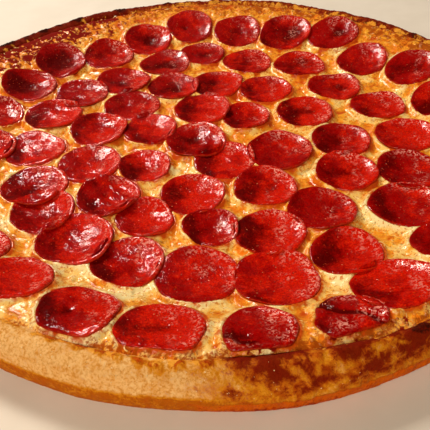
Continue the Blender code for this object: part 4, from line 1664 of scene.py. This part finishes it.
@dataclass
class Sprinkle:
    """Small bits of one kind, scattered over a piece by Geometry Nodes.

    Args:
        name: Name of the piece that the bits become.
        shape: Shape of each bit.
        per_square_cm: How many lie on a square centimetre where the host's mark is 1.
        sizes: Smallest and largest half width.
        flat: Height as a share of the width.
        sink: How far a bit of size 1 is pushed down into the surface.
        seed: Number that fixes where they lie.
        mark: The host's mark that says where they may lie.
    """

    name: str
    shape: Bit
    per_square_cm: float
    sizes: tuple
    flat: float
    sink: float
    seed: int
    mark: str = "room"

    def bit(self, tree: bpy.types.NodeTree) -> Socket:
        """The shape of one bit: a low-poly drop, or a curl of thread.

        Args:
            tree: The tree that its nodes go into.

        Returns:
            The mesh of a bit that is half a unit wide.
        """
        if self.shape is Bit.DROP:
            ball = {"Segments": 8, "Rings": 5, "Radius": 1.0}
            return wire(tree, "GeometryNodeMeshUVSphere", ball).outputs["Mesh"]
        bend = {"Resolution": 9, "Radius": 1.0, "Sweep Angle": math.radians(165)}
        arc = wire(tree, "GeometryNodeCurveArc", bend)
        thread = wire(tree, "GeometryNodeCurvePrimitiveCircle", {"Resolution": 5, "Radius": 0.21})
        ends = {"Curve": arc.outputs["Curve"], "Profile Curve": thread.outputs["Curve"], "Fill Caps": True}
        return wire(tree, "GeometryNodeCurveToMesh", ends).outputs["Mesh"]

    def tree(self, material: bpy.types.Material) -> bpy.types.NodeTree:
        """Lay the bits on the faces, each turned and sized by chance, and make them real.

        Args:
            material: Finish of the bits.

        Returns:
            The node tree that does so.
        """
        tree = bpy.data.node_groups.new(self.name + "_tree", "GeometryNodeTree")
        kinds = {"Host": "Geometry", "Bits per square metre": "Float", "Smallest": "Float"}
        kinds |= {"Largest": "Float", "Flatness": "Float", "Sink": "Float", "Seed": "Int"}
        for label, kind in kinds.items():
            tree.interface.new_socket(label, in_out="INPUT", socket_type="NodeSocket" + kind)
        tree.interface.new_socket("Bits", in_out="OUTPUT", socket_type="NodeSocketGeometry")
        given = tree.nodes.new("NodeGroupInput").outputs
        add = functools.partial(wire, tree)
        chance = functools.partial(wire, tree, "FunctionNodeRandomValue")
        seed = {"Seed": given["Seed"]}
        room = add("GeometryNodeInputNamedAttribute", {"Name": self.mark}, data_type="FLOAT")
        dense = {0: given["Bits per square metre"], 1: room.outputs["Attribute"]}
        thick = add("ShaderNodeMath", dense, operation="MULTIPLY")
        on_host = {"Mesh": given["Host"], "Density": thick.outputs[0], **seed}
        spread = add("GeometryNodeDistributePointsOnFaces", on_host)
        turn = chance({0: (-0.25, -0.25, 0.0), 1: (0.25, 0.25, math.tau), **seed}, data_type="FLOAT_VECTOR")
        turn = add("FunctionNodeEulerToRotation", {0: turn.outputs[0]})
        turns = {"Rotation": spread.outputs["Rotation"], "Rotate By": turn.outputs[0]}
        turned = add("FunctionNodeRotateRotation", turns, rotation_space="LOCAL")
        size = chance({2: given["Smallest"], 3: given["Largest"], **seed}, data_type="FLOAT")
        stretch = chance({0: (0.75, 0.55, 0.8), 1: (1.25, 1.0, 1.2), **seed}, data_type="FLOAT_VECTOR")
        grow = {0: stretch.outputs[0], "Scale": size.outputs[1]}
        scale = add("ShaderNodeVectorMath", grow, operation="SCALE")
        level = add("ShaderNodeCombineXYZ", {0: 1.0, 1: 1.0, 2: given["Flatness"]})
        drop = add("ShaderNodeCombineXYZ", {2: given["Sink"]})
        press = {"Geometry": self.bit(tree), "Scale": level.outputs[0], "Translation": drop.outputs[0]}
        pressed = add("GeometryNodeTransform", press)
        lay = {"Points": spread.outputs["Points"], "Instance": pressed.outputs["Geometry"]}
        lay |= {"Rotation": turned.outputs["Rotation"], "Scale": scale.outputs[0]}
        laid = add("GeometryNodeInstanceOnPoints", lay)
        real = add("GeometryNodeRealizeInstances", {"Geometry": laid.outputs["Instances"]})
        finish = add("GeometryNodeSetMaterial", {"Geometry": real.outputs["Geometry"], "Material": material})
        add("NodeGroupOutput", {"Bits": finish.outputs["Geometry"]})
        return tree

    def build(self, hosts: list, material: bpy.types.Material) -> bpy.types.Object:
        """Lay the bits on copies of the hosts' faces and turn them into one plain mesh.

        Args:
            hosts: Pieces that they lie on.
            material: Finish of the bits.

        Returns:
            The bits as one object.
        """
        work = bmesh.new()
        for host in hosts:
            work.from_mesh(host.data)
        ground = bpy.data.meshes.new(self.name + "_ground")
        work.to_mesh(ground)
        work.free()
        carrier = add_object(self.name + "_carrier", ground)
        scatter = carrier.modifiers.new("scatter", "NODES")
        scatter.node_group = self.tree(material)
        values = {
            "Bits per square metre": self.per_square_cm * 1e4,
            "Smallest": self.sizes[0],
            "Largest": self.sizes[1],
            "Flatness": self.flat,
            "Sink": -self.sink,
            "Seed": self.seed,
        }
        for socket in scatter.node_group.interface.items_tree:
            if socket.item_type == "SOCKET" and socket.name in values:
                scatter[socket.identifier] = values[socket.name]
        bpy.context.view_layer.update()
        graph = bpy.context.evaluated_depsgraph_get()
        bits = bpy.data.meshes.new_from_object(carrier.evaluated_get(graph))
        bits.name = self.name
        carrier.modifiers.clear()
        bpy.data.objects.remove(carrier, do_unlink=True)
        for mark in [layer.name for layer in bits.attributes if layer.data_type == "FLOAT"]:
            bits.attributes.remove(bits.attributes[mark])
        bits.polygons.foreach_set("use_smooth", np.ones(len(bits.polygons), bool))
        return add_object(self.name, bits)


class Stage:
    """Floor, lights and camera."""

    floor_reach = 3.0
    sky_colour = (1.0, 0.88, 0.72, 1.0)
    sky_strength = 0.07
    camera_place = Vector((-0.0004, -0.3857, 0.2602))
    camera_pitch = math.radians(40.16)
    camera_yaw = -0.00049
    camera_roll = -0.02803
    sensor_mm = 36.0
    focal_pixels = 635.6
    image_pixels = 430

    def floor(self) -> None:
        """A plain pale floor, which is no part of the pizza."""
        reach = self.floor_reach
        mesh = bpy.data.meshes.new("floor")
        corners = [(-reach, -reach, 0), (reach, -reach, 0), (reach, reach, 0), (-reach, reach, 0)]
        mesh.from_pydata(corners, [], [(0, 1, 2, 3)])
        recipe = Recipe("pale_floor")
        tint = recipe.coats((0.80, 0.71, 0.60), (recipe.speckle(0.03, 3), 0.3, 0.7, 1.0, (0.84, 0.75, 0.64)))
        mesh.materials.append(recipe.finish(base_color=tint, roughness=0.7))
        add_object("floor", mesh)

    def light(self, name: str, place: tuple, size: float, power: float, tint: tuple) -> None:
        """A square soft light that points at the pizza.

        Args:
            name: Name of the light.
            place: Where it stands.
            size: Side of the square.
            power: Its power in watts.
            tint: Its colour.
        """
        lamp = bpy.data.lights.new(name, "AREA")
        lamp.size = size
        lamp.energy = power
        lamp.color = tint
        obj = add_object(name, lamp)
        obj.location = place
        obj.rotation_euler = (-Vector(place)).to_track_quat("-Z", "Y").to_euler()

    def lights(self) -> None:
        """A window light from the far left, a soft fill from the near left, and a pale sky."""
        self.light("window", (-0.66, 1.0, 1.12), 0.38, 23.5, (1.0, 0.92, 0.80))
        self.light("fill", (-0.30, -1.15, 0.90), 0.9, 14.0, (1.0, 0.88, 0.72))
        world = bpy.data.worlds.new("sky")
        world.use_nodes = True
        sky = world.node_tree.nodes["Background"]
        sky.inputs["Color"].default_value = self.sky_colour
        sky.inputs["Strength"].default_value = self.sky_strength
        bpy.context.scene.world = world

    def camera(self) -> None:
        """The camera of the photo."""
        yaw, pitch, roll = self.camera_yaw, self.camera_pitch, self.camera_roll
        look = Vector((math.sin(yaw) * math.cos(pitch), math.cos(yaw) * math.cos(pitch), -math.sin(pitch)))
        level = Vector((math.cos(yaw), -math.sin(yaw), 0.0))
        up = level.cross(look)
        right = level * math.cos(roll) + up * math.sin(roll)
        top = -level * math.sin(roll) + up * math.cos(roll)
        lens = bpy.data.cameras.new("camera")
        lens.sensor_width = self.sensor_mm
        lens.lens = self.sensor_mm * self.focal_pixels / self.image_pixels
        lens.clip_start = 0.01
        camera = add_object("camera", lens)
        turn = Matrix((right, top, -look)).transposed().to_4x4()
        camera.matrix_world = Matrix.Translation(self.camera_place) @ turn
        bpy.context.scene.camera = camera


def dress(
    piece: bpy.types.Object, material: bpy.types.Material | None, slot: Slot, *nodes: str
) -> bpy.types.Object:
    """Give a piece its material and its place in the frame.

    Args:
        piece: The piece.
        material: Its finish, or None if it has one already.
        slot: The record's slot that the finish comes from. Not used.
        nodes: Nodes of the solids that the piece stands for.

    Returns:
        The piece.
    """
    if material is not None:
        piece.data.materials.clear()
        piece.data.materials.append(material)
    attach(piece, "root")
    if nodes:
        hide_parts(*nodes)
    LOG.info("%s: %d points, %d faces", piece.name, len(piece.data.vertices), len(piece.data.polygons))
    return piece


def node_groups() -> dict[str, list[int]]:
    """The numbers of the slices in each slice node of the solids."""
    names = [name for name in sorted(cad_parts) if name.startswith("slice_")]
    return {name: [int(number) for number in name.split("_")[1:]] for name in names}


def main() -> None:
    """Build the pieces in order and report each of them."""
    logging.basicConfig(level=logging.INFO, format="%(name)s %(message)s")
    bpy.context.scene.view_settings.view_transform = "Standard"
    bed = Bed()
    crust = dress(Crust(bed).build(), CrustFinish().material(), Slot.CRUST, "crust")
    topping = Slices(bed)
    slices = topping.lay_out()
    sausage = SausageFinish().material()
    rounds = []
    for node, piece in topping.build(slices, node_groups()).items():
        rounds.append(dress(piece, sausage, Slot.SAUSAGE, node))
    cheese = dress(Cheese(bed, slices).build(), CheeseFinish().material(), Slot.CHEESE, "cheese")
    drop, curl = Bit.DROP, Bit.CURL
    on_slices, on_cheese, on_crust = (rounds, Slot.SAUSAGE), ([cheese], Slot.CHEESE), ([crust], Slot.CRUST)
    for (hosts, slot), finish, sprinkle in (
        (on_slices, FAT, Sprinkle("fat_specks", drop, 0.9, (0.00018, 0.00055), 0.22, 0.05, 5)),
        (on_slices, OIL, Sprinkle("oil_beads", drop, 2.6, (0.00018, 0.00050), 0.42, 0.10, 6)),
        (on_cheese, CURLS, Sprinkle("cheese_curls", curl, 0.8, (0.0010, 0.0022), 0.8, 0.12, 7)),
        (on_cheese, BROWNED, Sprinkle("browned_blisters", drop, 1.6, (0.0006, 0.0015), 0.45, 0.12, 8, "brown")),
        (on_cheese, LEAF, Sprinkle("oregano", drop, 0.9, (0.00030, 0.00070), 0.16, 0.05, 9, "herb_room")),
        (on_crust, FLOUR, Sprinkle("flour_grains", drop, 7.0, (0.00018, 0.00042), 0.6, 0.20, 10, "flour")),
    ):
        dress(sprinkle.build(hosts, finish.material()), None, slot)
    stage = Stage()
    stage.floor()
    stage.lights()
    stage.camera()


if __name__ == "__main__":
    main()
